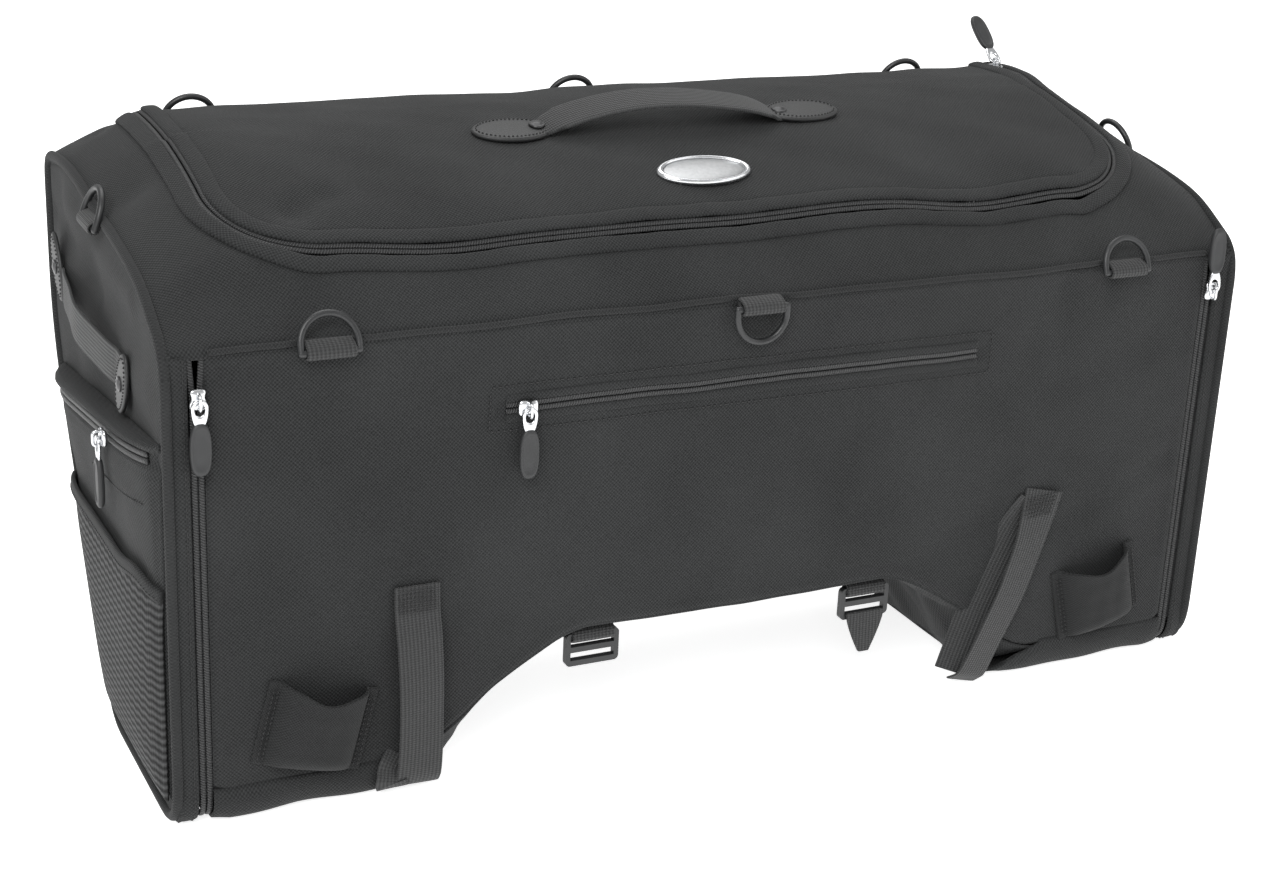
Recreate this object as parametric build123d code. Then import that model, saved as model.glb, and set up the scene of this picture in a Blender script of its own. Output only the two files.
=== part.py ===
from build123d import *
import os
from math import atan2, degrees, sqrt

# Motorcycle tail bag: a soft box that stands on two feet with an arch between them.
# Millimetres. +X runs along the bag, -Y is its front, +Z is up, and the feet stand on z = 0.
# Every piece is drawn with the front panel's face on y = 0 and is moved back by FRONT_Y when
# it is written, so that the origin ends up under the middle of the bag.

# ---- driving sizes -------------------------------------------------------------------------
LENGTH = 628.0          # over the two end panels
DEPTH = 245.0           # front face to rear face
SEAM_H = 251.0          # front top seam above the feet
CREST_H = 321.0         # back edge of the lid above the feet
REAR_SEAM_H = 306.0     # rear top seam
SHOULDER_IN = 36.0      # front seam back to the lid's front edge
SHOULDER_UP = 34.0      # front seam up to the lid's front edge
CROWN_RISE = 11.0       # how far the lid's arc stands over its chord
LID_BACK_IN = 33.0      # rear face forward to the lid's hinge
TAPER_H = 190.0         # height where the rear face starts to lean in
FOOT_DEPTH = 132.0      # depth of the feet on the ground
BASE_ROLL = 16.0        # rolled front bottom edge
WALL = 3.0              # fabric, foam and lining together
END_DROP = 27.0         # the top falls this much at its ends
DROP_START = 35.0       # and starts to fall this far in from the ends
DROP_REAR = 0.6         # share of that fall at the rear seam
DROP_FRONT = 0.5        # and at the lid's front edge
FRONT_Y = -119.0        # front face in the finished frame

ARCH_TOP = 76.0         # clear height of the arch
ARCH_TOP_HALF = 100.0
ARCH_KNEE_H = 50.0
ARCH_KNEE_HALF = 147.0
ARCH_FOOT_HALF = 170.0

ZIP_W = 7.0             # coil width, both halves
ZIP_GAP = 0.6           # between the two halves of a closed chain
ZIP_T = 2.4             # coil thickness
ZIP_SET = 0.3           # the coil's face behind the fabric's face
CORNER_ZIP_IN = 16.0    # corner zip's centre in from the end face
LID_SIDE_IN = 42.0      # lid zip's centre in from the end face
LID_CORNER_R = 50.0

FOLD_GAP = 0.7          # each side of an end panel's fold line
END_LIFT = 2.0          # end panels stay this far off the ground
GUSSET_T = 1.2
GUSSET_GAP = 0.9        # gusset to the wall it slides along
GUSSET_ANGLE = 15.0     # how far an end panel swings out
GUSSET_DOWN = 4.2       # gusset's top below the fold line

PIPE_R = 2.4            # piping cord
WEB_W = 24.6            # webbing
WEB_T = 1.5
RING_WIRE = 3.6
RING_IN = 25.4          # D-ring's inside width
RING_STRAIGHT = 4.0
RING_PLAY = 0.35        # ring bar inside its webbing loop
RING_OUT = 4.4          # ring bar out from its seam
RING_DOWN = 4.0         # ring bar below its seam
RING_LEAN = 70.0        # a raised ring's angle from level
RING_CLEAR = 1.2        # a ring's side to the end of the piping beside it
RING_X = 234.0          # outer rings from the middle
END_RING_Y = 125.0

POCKET_HALF = 141.0     # front pocket's zip
POCKET_ZIP_H = 206.0
POCKET_LIFT = 10.0      # pocket bag's bottom above the arch
POCKET_EDGE = 17.0      # pocket bag beyond the zip's ends and above it
POCKET_GAP = 9.0        # room inside the pocket bag
POCKET_T = 0.8

HANDLE_HALF = 75.0      # carry handle, middle to rivet
HANDLE_RISE = 13.0
HANDLE_T = 3.0
PATCH_L = 44.0
PATCH_W = 26.0
PATCH_T = 1.4
RIVET_R = 4.5
RIVET_H = 1.8
BADGE_L = 56.0
BADGE_W = 27.0
BADGE_T = 3.0
BADGE_RIM = 2.2
BADGE_BACK = 34.0       # badge centre behind the lid's front edge

SLIDER_L = 11.0
SLIDER_W = 8.6
SLIDER_T = 2.4
SLIDER_LIFT = 0.7       # slider's sole over the coil
BAIL_R = 0.75
BAIL_UP = 3.2           # bail's upper leg over the pull's axis
BAIL_DOWN = 4.2
BAIL_OUT = 2.3          # bail bar in front of the pull's axis
PULL_SINK = 1.6         # pull's axis in front of the slider's face
PULL_T = 1.2
PULL_W = 8.4
PULL_EYE = 5.0
PULL_RIM = 1.1
PULL_HOLE_TOP = 1.2
PULL_HOLE_END = 7.2
PULL_TANG = 16.0
CORNER_SLIDER_DOWN = 22.0   # corner sliders below the front top seam
RIGHT_PULL_SWING = 183.0    # the right corner's pull stands up
LID_SLIDER_IN = 16.0    # lid slider in front of the lid's hinge
LID_PULL_SWING = 140.0  # its pull points up and back
SLEEVE_TOP = 10.5
SLEEVE_L = 27.0
SLEEVE_W = 10.6
SLEEVE_T = 3.0

STRAP_TOP_H = 115.0     # tie-down strap's tack above the ground
STRAP_TACK = 14.0
STRAP_OUT = 8.0         # slack strap in front of the panel
STRAP_FOOT = 3.0        # strap's lowest point above the ground
STRAP_SLACK = 40.0      # full slack is reached this far below the strap's top
STRAP_BEND = 4.0        # how tightly the strap turns under the edge
STRAP_L_X = -188.0
STRAP_R_X = 193.0
STRAP_R_LEAN = 38.0     # right strap's foot leans in by this much
SLEEVE_POCKET_W = 49.0
SLEEVE_POCKET_H = 47.0
SLEEVE_POCKET_D = 15.0
SLEEVE_FABRIC = 1.6
SLEEVE_POCKET_X = 242.0
SLEEVE_POCKET_Z = 48.0
SLEEVE_TILT = 14.0

BUCKLE_W = 31.0
BUCKLE_H = 19.0
BUCKLE_T = 4.0
BUCKLE_BAR = 3.2
BUCKLE_X = 85.0
BUCKLE_IN = 9.0         # buckle bar behind the front face
BUCKLE_DOWN = 6.5       # buckle bar under the arch
TAIL_L = 26.0

SIDE_POCKET_Y0 = 12.0
SIDE_POCKET_FLOOR = 14.0
SIDE_POCKET_OUT = 9.0   # room inside the zipped side pocket
SIDE_ZIP_FRONT_H = 196.0
SIDE_ZIP_FALL = 30.0    # side zip falls this much towards the rear
SIDE_TOP_BAND = 9.0     # pocket fabric above its zip
SIDE_FABRIC = 1.6
SIDE_REAR_IN = 12.0     # side pocket stops this far short of the rear face
MESH_OUT = 8.0          # room inside the mesh pocket
MESH_FABRIC = 1.6
MESH_FRONT_H = 129.0    # mesh hem at the front
MESH_FALL = 4.0         # and how much lower it is at the rear
SIDE_SLIDER_BACK = 62.0 # side slider behind its zip's front end
SIDE_HANDLE_Y = 72.0    # front rivet of the side handle behind the front face
SIDE_HANDLE_DOWN = 29.0 # and below the front top seam
SIDE_HANDLE_SPAN = 126.0
SIDE_HANDLE_CLIMB = 4.0 # the side handle's rise towards the rear, in degrees
SIDE_PATCH_L = 38.0
SIDE_PATCH_W = 18.0
SIDE_PATCH_TURN = 62.0  # how steeply a side patch stands, in degrees
SIDE_PATCH_OUT = 12.0   # side patch's middle past its rivet
SIDE_STRAP_W = 20.0
SIDE_HANDLE_RISE = 8.0

BOARD_T = 2.0
BOARD_GAP = 0.4
BOARD_IN = 84.0         # boards stop this far in from the end faces

# ---- values that follow from them ----------------------------------------------------------
HALF = LENGTH / 2
SHOULDER_H = SEAM_H + SHOULDER_UP
LID_BACK = DEPTH - LID_BACK_IN
ZIP_X = HALF - CORNER_ZIP_IN
INNER_EDGE = ZIP_X - ZIP_W / 2
OUTER_EDGE = ZIP_X + ZIP_W / 2
DROP_X = HALF - DROP_START
LID_X = HALF - LID_SIDE_IN
AXIS_X = HALF - WALL / 2
MID_Y = (SHOULDER_IN + LID_BACK) / 2
MID_H = (SHOULDER_H + CREST_H) / 2 + CROWN_RISE
FAR = 2 * LENGTH


# ---- shared shapes -------------------------------------------------------------------------
def block(x0, x1, y0, y1, z0, z1):
    """A box by its six faces."""
    box = Box(x1 - x0, y1 - y0, z1 - z0, align=(Align.MIN, Align.MIN, Align.MIN))
    return Pos(x0, y0, z0) * box


def prism_x(points, x0, x1):
    """A prism whose outline is drawn in Y and Z."""
    face = make_face(Polyline([(x0, y, z) for y, z in points], close=True))
    return extrude(face, x1 - x0, dir=(1, 0, 0))


def section(x, drop):
    """The bag's outline across its length at x, with its top let down by drop."""
    low = [(x, LID_BACK, CREST_H - drop), (x, DEPTH, REAR_SEAM_H - drop * DROP_REAR)]
    low += [(x, DEPTH, TAPER_H), (x, FOOT_DEPTH, 0), (x, BASE_ROLL, 0), (x, 0, BASE_ROLL)]
    low += [(x, 0, SEAM_H), (x, SHOULDER_IN, SHOULDER_H - drop * DROP_FRONT)]
    crown = ThreePointArc(low[-1], (x, MID_Y, MID_H - drop), low[0])
    return make_face(Polyline(low) + crown)


def inner_section(x, drop):
    """The same outline, one wall further in."""
    return offset(section(x, drop), amount=-WALL, kind=Kind.INTERSECTION)


def tube(x0, x1, skin=0.0, thick=WALL):
    """The bag's wall between two places along its length, from skin to skin + thick deep."""
    face = section(x0, 0)
    outer = offset(face, amount=-skin, kind=Kind.INTERSECTION) if skin else face
    inner = offset(face, amount=-skin - thick, kind=Kind.INTERSECTION)
    return extrude(outer - inner, x1 - x0, dir=(1, 0, 0))


def arch(grow, y0, y1):
    """The arch under the bag, grown outwards by grow."""
    points = [(ARCH_FOOT_HALF, 0), (ARCH_KNEE_HALF, ARCH_KNEE_H), (ARCH_TOP_HALF, ARCH_TOP)]
    outline = [(-x, z) for x, z in points] + points[::-1]
    face = make_face(Polyline([(x, y0, z) for x, z in outline], close=True))
    if grow:
        face = offset(face, amount=grow, kind=Kind.INTERSECTION)
    return extrude(face, y1 - y0, dir=(0, 1, 0))


def both_sides(solid):
    """The piece and its mirror image at the other end of the bag."""
    return Compound(children=[solid, mirror(solid, about=Plane.YZ)])


def group(*solids):
    """Separate solids that share one node."""
    return Compound(children=list(solids))


def crown_height(y):
    """The height of the bag's top, away from its ends, at y behind the front face."""
    if y <= SHOULDER_IN:
        return SEAM_H + SHOULDER_UP * y / SHOULDER_IN
    if y >= LID_BACK:
        return CREST_H - (CREST_H - REAR_SEAM_H) * (y - LID_BACK) / LID_BACK_IN
    centre_y, centre_z, radius = crown_circle()
    return centre_z + sqrt(radius**2 - (y - centre_y) ** 2)


def crown_circle():
    """Centre (y, z) and radius of the arc that the lid follows."""
    ay, az = SHOULDER_IN, SHOULDER_H
    by, bz = MID_Y, MID_H
    cy, cz = LID_BACK, CREST_H
    d = 2 * (ay * (bz - cz) + by * (cz - az) + cy * (az - bz))
    a2 = ay**2 + az**2
    b2 = by**2 + bz**2
    c2 = cy**2 + cz**2
    uy = (a2 * (bz - cz) + b2 * (cz - az) + c2 * (az - bz)) / d
    uz = (a2 * (cy - by) + b2 * (ay - cy) + c2 * (by - ay)) / d
    return uy, uz, sqrt((ay - uy) ** 2 + (az - uz) ** 2)


def crown_tilt(y):
    """How steeply the top rises towards the rear at y, in degrees."""
    centre_y, centre_z, radius = crown_circle()
    return degrees(atan2(centre_y - y, crown_height(y) - centre_z))


# ---- body panels ---------------------------------------------------------------------------
def front_panel():
    """Flat front with the arch cut out and a slot behind the pocket's zip."""
    panel = block(-INNER_EDGE, INNER_EDGE, 0, WALL, BASE_ROLL, SEAM_H)
    panel -= arch(0, -WALL, 2 * WALL)
    half = POCKET_HALF + ZIP_GAP
    half_w = ZIP_W / 2 + ZIP_GAP / 2
    return panel - block(-half, half, -1, WALL + 1, POCKET_ZIP_H - half_w, POCKET_ZIP_H + half_w)


def rear_panel():
    """Rear face and the lean of its lower part."""
    wall = tube(-INNER_EDGE, INNER_EDGE)
    lower = wall & block(-FAR, FAR, FOOT_DEPTH / 2, DEPTH, WALL, SEAM_H)
    upper = block(-DROP_X, DROP_X, DEPTH - WALL, DEPTH, SEAM_H, REAR_SEAM_H - WALL)
    return (lower + upper) - arch(0, -WALL, FAR)


def foot_panels():
    """The two flat feet, with the rolled front bottom edge."""
    wall = tube(-INNER_EDGE, INNER_EDGE)
    flat = wall & block(-FAR, FAR, 0, DEPTH, 0, WALL)
    roll = wall & block(-FAR, FAR, 0, BASE_ROLL + WALL, WALL, BASE_ROLL)
    feet = (flat + roll) - arch(WALL, -WALL, FAR)
    return Compound(children=feet.solids())


def arch_panel():
    """Bent sheet that lines the arch between the front and rear faces."""
    band = arch(WALL, WALL, FAR) - arch(0, 0, FAR)
    inside = extrude(inner_section(-HALF, 0), LENGTH, dir=(1, 0, 0))
    return band & inside


def lid_outline(grow, back):
    """The lid's outline seen from above, grown by grow, as a tall prism that ends at back."""
    x = LID_X + grow
    y0 = SHOULDER_IN - grow
    radius = LID_CORNER_R + grow
    top = block(-x, x, y0, back, 0, FAR)
    corners = top.edges().filter_by(Axis.Z).sort_by(Axis.Y)[0:2]
    return fillet(corners, radius)


def top_surround():
    """The fixed border of the top: front shoulder, side strips and the rear roll."""
    wall = tube(-DROP_X, DROP_X) & block(-FAR, FAR, 0, DEPTH, SEAM_H, FAR)
    wall -= block(-FAR, FAR, DEPTH - WALL, FAR, 0, REAR_SEAM_H - WALL)
    return wall - lid_outline(ZIP_W / 2, LID_BACK)


def yoke():
    """Fixed upper part of the right end, falling from the lid down to the end ridge."""
    outer = loft([section(DROP_X, 0), section(HALF, END_DROP)], ruled=True)
    hollow = loft([inner_section(DROP_X, 0), inner_section(HALF - WALL, END_DROP)], ruled=True)
    return (outer - hollow) & block(0, FAR, -WALL, FAR, SEAM_H + FOLD_GAP, FAR)


def lid_panel():
    """Crowned lid sheet inside its zip."""
    wall = tube(-LID_X, LID_X) & block(-FAR, FAR, 0, DEPTH, SHOULDER_H - WALL, FAR)
    return wall & lid_outline(-ZIP_W / 2, LID_BACK - 2 * FOLD_GAP)


def chain_ring(inner, outer):
    """One half of the lid's zip: the coil's layer between two outlines."""
    layer = tube(-HALF, HALF, ZIP_SET, ZIP_T) & block(-FAR, FAR, 0, DEPTH, SEAM_H, FAR)
    back = LID_BACK - 2 * FOLD_GAP
    return (layer & lid_outline(outer, back)) - lid_outline(inner, back + ZIP_W)


def lid_zip():
    """Lid half of the zip."""
    return chain_ring(-ZIP_W / 2, -ZIP_GAP / 2)


def surround_zip():
    """Fixed half of the lid's zip."""
    return chain_ring(ZIP_GAP / 2, ZIP_W / 2)


def front_seam_piping():
    """Cord sewn into the front top seam."""
    cord = Cylinder(PIPE_R, 2 * DROP_X, rotation=(0, 90, 0))
    cord = Pos(0, 0, SEAM_H) * cord
    cord = cord - extrude(section(-HALF, 0), LENGTH, dir=(1, 0, 0))
    gap = RING_IN / 2 + RING_WIRE + RING_CLEAR
    for ring_x in (-RING_X, 0, RING_X):
        cord -= block(ring_x - gap, ring_x + gap, -FAR, FAR, 0, FAR)
    return Compound(children=cord.solids())


# ---- end panels that swing out -------------------------------------------------------------
def end_zone(x0, x1):
    """Space of a swinging end between two places, under its fold line and off the ground."""
    return block(x0, x1, -FAR, FAR, END_LIFT, SEAM_H - FOLD_GAP)


def end_panel():
    """Right end face with the narrow rim that the corner zip and the piping are sewn to."""
    face = extrude(section(HALF - WALL, 0), WALL, dir=(1, 0, 0))
    rim = tube(OUTER_EDGE, HALF - WALL)
    return (face + rim) & end_zone(OUTER_EDGE, HALF)


def end_trim():
    """Piping cord along the end face's front edge and the outer half of the corner zip."""
    cord = Pos(HALF, 0, 0) * Cylinder(PIPE_R, SEAM_H - BASE_ROLL - 2 * FOLD_GAP)
    cord = Pos(0, 0, (SEAM_H + BASE_ROLL) / 2) * cord
    cord = cord - block(0, HALF, 0, FAR, 0, FAR)
    coil = tube(ZIP_X + ZIP_GAP / 2, OUTER_EDGE, ZIP_SET, ZIP_T) & end_zone(0, HALF)
    return group(cord, coil)


def corner_zips():
    """Fixed halves of the two corner zips."""
    coil = tube(INNER_EDGE, ZIP_X - ZIP_GAP / 2, ZIP_SET, ZIP_T) & end_zone(0, HALF)
    return both_sides(coil)


def gusset():
    """Folded strip behind the corner zip, swept about the end panel's fold line."""
    deep = WALL + GUSSET_GAP
    face = section(AXIS_X, 0)
    outer = offset(face, amount=-deep, kind=Kind.INTERSECTION)
    inner = offset(face, amount=-deep - GUSSET_T, kind=Kind.INTERSECTION)
    strip = (outer - inner) & block(0, FAR, -FAR, FAR, 0, SEAM_H - GUSSET_DOWN)
    axis = Axis((AXIS_X, 0, SEAM_H), (0, 1, 0))
    swept = revolve(strip, axis, GUSSET_ANGLE)
    return swept & block(0, HALF - WALL, -FAR, FAR, 0, SEAM_H - GUSSET_DOWN)


# ---- zip sliders and pulls -----------------------------------------------------------------
# Drawn on a face that looks along -Y, about the pull's own axis, which runs along X.
def slider(upright):
    """Slider body and its bail; upright when the zip runs along Z."""
    size = (SLIDER_W, SLIDER_T, SLIDER_L) if upright else (SLIDER_L, SLIDER_T, SLIDER_W)
    body = Pos(0, PULL_SINK + SLIDER_T / 2, 0) * Box(*size)
    body = fillet(body.edges().filter_by(Axis.Y), SLIDER_W / 3)
    reach = BAIL_OUT + PULL_SINK
    bar_l = BAIL_UP + BAIL_DOWN
    bar = Pos(0, -BAIL_OUT, (BAIL_UP - BAIL_DOWN) / 2) * Cylinder(BAIL_R, bar_l)
    leg = Pos(0, -BAIL_OUT + reach / 2, 0) * Cylinder(BAIL_R, reach, rotation=(90, 0, 0))
    body += bar + Pos(0, 0, BAIL_UP) * leg + Pos(0, 0, -BAIL_DOWN) * leg
    for z in (BAIL_UP, -BAIL_DOWN):
        body += Pos(0, -BAIL_OUT, z) * Sphere(BAIL_R)
    return body


def pull():
    """Flat metal pull with an eye, and the moulded sleeve over its tang."""
    width = PULL_W / 2
    top = Pos(0, 0, PULL_RIM - width) * Cylinder(width, PULL_T, rotation=(90, 0, 0))
    plate = top + block(-width, width, -PULL_T / 2, PULL_T / 2, -PULL_TANG, PULL_RIM - width)
    hole_mid = -(PULL_HOLE_TOP + PULL_HOLE_END) / 2
    hole = Pos(0, 0, hole_mid) * Box(PULL_EYE, 2 * PULL_T, PULL_HOLE_END - PULL_HOLE_TOP)
    hole = fillet(hole.edges().filter_by(Axis.Y), PULL_EYE / 2.2)
    plate = plate - hole
    middle = -SLEEVE_TOP - SLEEVE_L / 2
    cover = Pos(0, 0, middle) * Box(SLEEVE_W, SLEEVE_T, SLEEVE_L)
    cover = fillet(cover.edges().filter_by(Axis.Y), SLEEVE_W / 2.1)
    cover = fillet(cover.faces().sort_by(Axis.Y)[0].edges(), SLEEVE_T / 4)
    return group(plate, cover - plate)


def on_coil(depth):
    """How far in front of the fabric's face a pull's axis lies, over a coil set in by depth."""
    return PULL_SINK + SLIDER_T + SLIDER_LIFT - depth


# ---- D-rings -------------------------------------------------------------------------------
def dring(lean):
    """D-ring about its bar on X, leaning by lean degrees from level; the seam is towards +Y."""
    reach = (RING_IN + RING_WIRE) / 2
    wire = RING_WIRE / 2
    bar = Cylinder(wire, 2 * reach, rotation=(0, 90, 0))
    side = Pos(0, 0, RING_STRAIGHT / 2) * Cylinder(wire, RING_STRAIGHT)
    bow = Pos(0, 0, RING_STRAIGHT) * Rot(90, 0, 0) * Torus(reach, wire)
    bow = bow & block(-FAR, FAR, -FAR, FAR, RING_STRAIGHT, FAR)
    ring = bar + bow
    for x in (-reach, reach):
        ring += Pos(x, 0, 0) * (side + Sphere(wire))
    return Rot(lean - 90, 0, 0) * ring


def ring_tab():
    """Webbing folded round a D-ring's bar and sewn into the seam behind and above it."""
    hole = RING_WIRE / 2 + RING_PLAY
    outer = hole + WEB_T
    loop = Cylinder(outer, WEB_W, rotation=(0, 90, 0))
    tail = prism_x(
        [(-WEB_T, 0), (outer, 0), (RING_OUT, RING_DOWN - WEB_T), (RING_OUT, RING_DOWN)],
        -WEB_W / 2,
        WEB_W / 2,
    )
    return (loop + tail) - Cylinder(hole, 2 * WEB_W, rotation=(0, 90, 0))


def ring_places():
    """Name, seam point, turn about Z and lean of each D-ring."""
    ridge = CREST_END_H
    up = RING_LEAN
    return [
        ("dring_front_left", (-RING_X, 0, SEAM_H), 0, up),
        ("dring_front_middle", (0, 0, SEAM_H), 0, 270),
        ("dring_front_right", (RING_X, 0, SEAM_H), 0, up),
        ("dring_rear_left", (-RING_X, DEPTH, REAR_SEAM_H), 180, up),
        ("dring_rear_middle", (0, DEPTH, REAR_SEAM_H), 180, up),
        ("dring_rear_right", (RING_X, DEPTH, REAR_SEAM_H), 180, up),
        ("dring_end_left", (-HALF, END_RING_Y, ridge), -90, up),
        ("dring_end_right", (HALF, END_RING_Y, ridge), 90, up),
    ]


def at_ring(seam, turn):
    """Frame of a D-ring's bar at its seam point."""
    return Pos(*seam) * Rot(0, 0, turn) * Pos(0, -RING_OUT, -RING_DOWN)


def end_ridge_height(y):
    """Height of the end ridge at y behind the front face."""
    line = Edge.make_line((HALF - WALL / 4, y, SEAM_H), (HALF - WALL / 4, y, FAR))
    solid = extrude(section(HALF - WALL, END_DROP), WALL, dir=(1, 0, 0))
    return (solid & line).bounding_box().max.Z


CREST_END_H = end_ridge_height(END_RING_Y)


# ---- front pocket --------------------------------------------------------------------------
def front_zip():
    """Closed coil of the front pocket."""
    half_w = ZIP_W / 2
    return block(
        -POCKET_HALF, POCKET_HALF, ZIP_SET, ZIP_SET + ZIP_T,
        POCKET_ZIP_H - half_w, POCKET_ZIP_H + half_w,
    )


def front_pocket():
    """Bag of the front pocket: a back panel and four edge strips, sewn behind the front panel."""
    x = POCKET_HALF + POCKET_EDGE
    top = POCKET_ZIP_H + POCKET_EDGE
    bottom = ARCH_TOP + POCKET_LIFT
    back = WALL + POCKET_GAP
    side = x - POCKET_T
    return group(
        block(-x, x, back, back + POCKET_T, bottom, top),
        block(-x, x, WALL, back, top - POCKET_T, top),
        block(-x, x, WALL, back, bottom, bottom + POCKET_T),
        block(-x, -side, WALL, back, bottom + POCKET_T, top - POCKET_T),
        block(side, x, WALL, back, bottom + POCKET_T, top - POCKET_T),
    )


def stiffener_boards():
    """Thin boards that hold the front and the rear face flat."""
    x = HALF - BOARD_IN
    y = WALL + POCKET_GAP + POCKET_T + BOARD_GAP
    low = ARCH_TOP + WALL + BOARD_GAP
    front = block(-x, x, y, y + BOARD_T, low, SEAM_H - WALL - BOARD_GAP)
    back = DEPTH - WALL - BOARD_GAP
    rear = block(-x, x, back - BOARD_T, back, TAPER_H + WALL, REAR_SEAM_H - 3 * WALL)
    return group(front, rear)


# ---- top handle and badge ------------------------------------------------------------------
def on_lid(x, y):
    """Frame on the lid's face with +Z away from it."""
    return Pos(x, y, crown_height(y)) * Rot(crown_tilt(y), 0, 0)


def carry_strap():
    """Webbing handle that arches up between its two rivets."""
    foot = HANDLE_HALF + RIVET_R + 2
    low = PATCH_T
    flat = [(-foot, low), (-HANDLE_HALF + RIVET_R, low)]
    rise = ThreePointArc(
        (-HANDLE_HALF + RIVET_R, 0, low), (0, 0, HANDLE_RISE), (HANDLE_HALF - RIVET_R, 0, low)
    )
    path = Polyline([(x, 0, z) for x, z in flat]) + rise
    path += Polyline([(HANDLE_HALF - RIVET_R, 0, low), (foot, 0, low)])
    inner = make_face(path + Line((foot, 0, low), (-foot, 0, low)))
    lifted = ThreePointArc(
        (-HANDLE_HALF + RIVET_R, 0, low + HANDLE_T),
        (0, 0, HANDLE_RISE + HANDLE_T),
        (HANDLE_HALF - RIVET_R, 0, low + HANDLE_T),
    )
    rim = Polyline([(-HANDLE_HALF + RIVET_R, 0, low + HANDLE_T), (-foot, 0, low + HANDLE_T),
                    (-foot, 0, low), (foot, 0, low), (foot, 0, low + HANDLE_T),
                    (HANDLE_HALF - RIVET_R, 0, low + HANDLE_T)])
    outer = make_face(rim + lifted)
    strap = extrude(outer, WEB_W / 2, dir=(0, 1, 0), both=True)
    return strap - extrude(inner, WEB_W, dir=(0, 1, 0), both=True)


def oval(length, width, thick):
    """Flat oval plate standing on z = 0."""
    return extrude(Ellipse(length / 2, width / 2), thick)


def handle_patches():
    """Oval vinyl patches under the handle's two ends."""
    plate = Pos(HANDLE_HALF + PATCH_L / 2 - RIVET_R - 3, 0, 0) * oval(PATCH_L, PATCH_W, PATCH_T)
    return both_sides(plate)


def rivet():
    """Domed rivet head standing on z = 0."""
    return Cone(RIVET_R, RIVET_R * 0.6, RIVET_H, align=(Align.CENTER, Align.CENTER, Align.MIN))


def handle_rivets():
    """Rivet heads over the handle's two ends."""
    return both_sides(Pos(HANDLE_HALF, 0, PATCH_T + HANDLE_T) * rivet())


def badge():
    """Oval chrome rim with a plain inlay."""
    rim = oval(BADGE_L, BADGE_W, BADGE_T)
    inlay = oval(BADGE_L - 2 * BADGE_RIM, BADGE_W - 2 * BADGE_RIM, BADGE_T - 1)
    return group(rim - inlay, inlay)


# ---- tie-down straps, strap pockets, buckles -----------------------------------------------
def strap_profile():
    """Side view of a slack tie-down strap: tacked at the top, turned up under the front edge."""
    out = -STRAP_OUT
    top = STRAP_TOP_H
    bend = STRAP_BEND
    slack = top - STRAP_SLACK
    edge = BASE_ROLL / 2
    outer = [(0, top), (-2 * WEB_T, top - bend / 2), (-2 * WEB_T, top - STRAP_TACK), (out, slack)]
    outer += [(out, STRAP_FOOT + 1.5 * bend), (out + bend, STRAP_FOOT), (edge - bend, STRAP_FOOT)]
    outer += [(edge + bend / 4, edge - bend / 2), (edge, edge)]
    inner = [(edge - bend / 2, STRAP_FOOT + bend), (edge - 1.25 * bend, STRAP_FOOT + WEB_T)]
    inner += [(out + 1.25 * bend, STRAP_FOOT + WEB_T), (out + WEB_T, STRAP_FOOT + 1.75 * bend)]
    inner += [(out + WEB_T, slack - WEB_T / 3), (0, top - STRAP_TACK - bend)]
    return outer + inner


def tie_straps():
    """Left and right tie-down strap; the right one hangs slanted towards the arch."""
    profile = strap_profile()
    left = prism_x(profile, STRAP_L_X - WEB_W / 2, STRAP_L_X + WEB_W / 2)
    right = prism_x(profile, -WEB_W / 2, WEB_W / 2)
    lean = degrees(atan2(STRAP_R_LEAN, STRAP_TOP_H))
    turned = Pos(STRAP_R_X, 0, STRAP_TOP_H) * Rot(0, lean, 0) * Pos(0, 0, -STRAP_TOP_H) * right
    return group(left, (turned & block(0, FAR, -FAR, 0, STRAP_FOOT, FAR)).solids()[0])


def strap_pocket():
    """Open-topped pocket for a folded strap end, seen from the front, about its middle."""
    w = SLEEVE_POCKET_W / 2
    h = SLEEVE_POCKET_H / 2
    t = SLEEVE_FABRIC
    flange = block(-w - 5, w + 5, -t, 0, -h, h)
    shell = block(-w, w, -SLEEVE_POCKET_D, 0, -h, h)
    outline = shell.edges().filter_by(Axis.Z).sort_by(Axis.Y)[0:2]
    shell = fillet(outline, SLEEVE_POCKET_D / 2)
    room = block(-w + t, w - t, -SLEEVE_POCKET_D + t, 1, -h + t, h + 1)
    inside = room.edges().filter_by(Axis.Z).sort_by(Axis.Y)[0:2]
    room = fillet(inside, SLEEVE_POCKET_D / 2 - t)
    return (flange + shell) - room


def strap_pockets():
    """The two strap pockets on the front's lower corners, tilted opposite ways."""
    left = Pos(-SLEEVE_POCKET_X, 0, SLEEVE_POCKET_Z) * Rot(0, SLEEVE_TILT, 0) * strap_pocket()
    return both_sides(left)


def buckle():
    """Two-slot webbing buckle about its top bar on X, hanging down."""
    top = BUCKLE_BAR / 2
    plate = Pos(0, 0, top - BUCKLE_H / 2) * Box(BUCKLE_W, BUCKLE_T, BUCKLE_H)
    plate = fillet(plate.edges().filter_by(Axis.Y), BUCKLE_BAR / 1.2)
    slot_h = (BUCKLE_H - 3 * BUCKLE_BAR) / 2
    slot_w = WEB_W + 1
    for row in (0, 1):
        z = -BUCKLE_BAR / 2 - slot_h / 2 - row * (slot_h + BUCKLE_BAR)
        plate -= Pos(0, 0, z) * Box(slot_w, 2 * BUCKLE_T, slot_h)
    return plate


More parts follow.
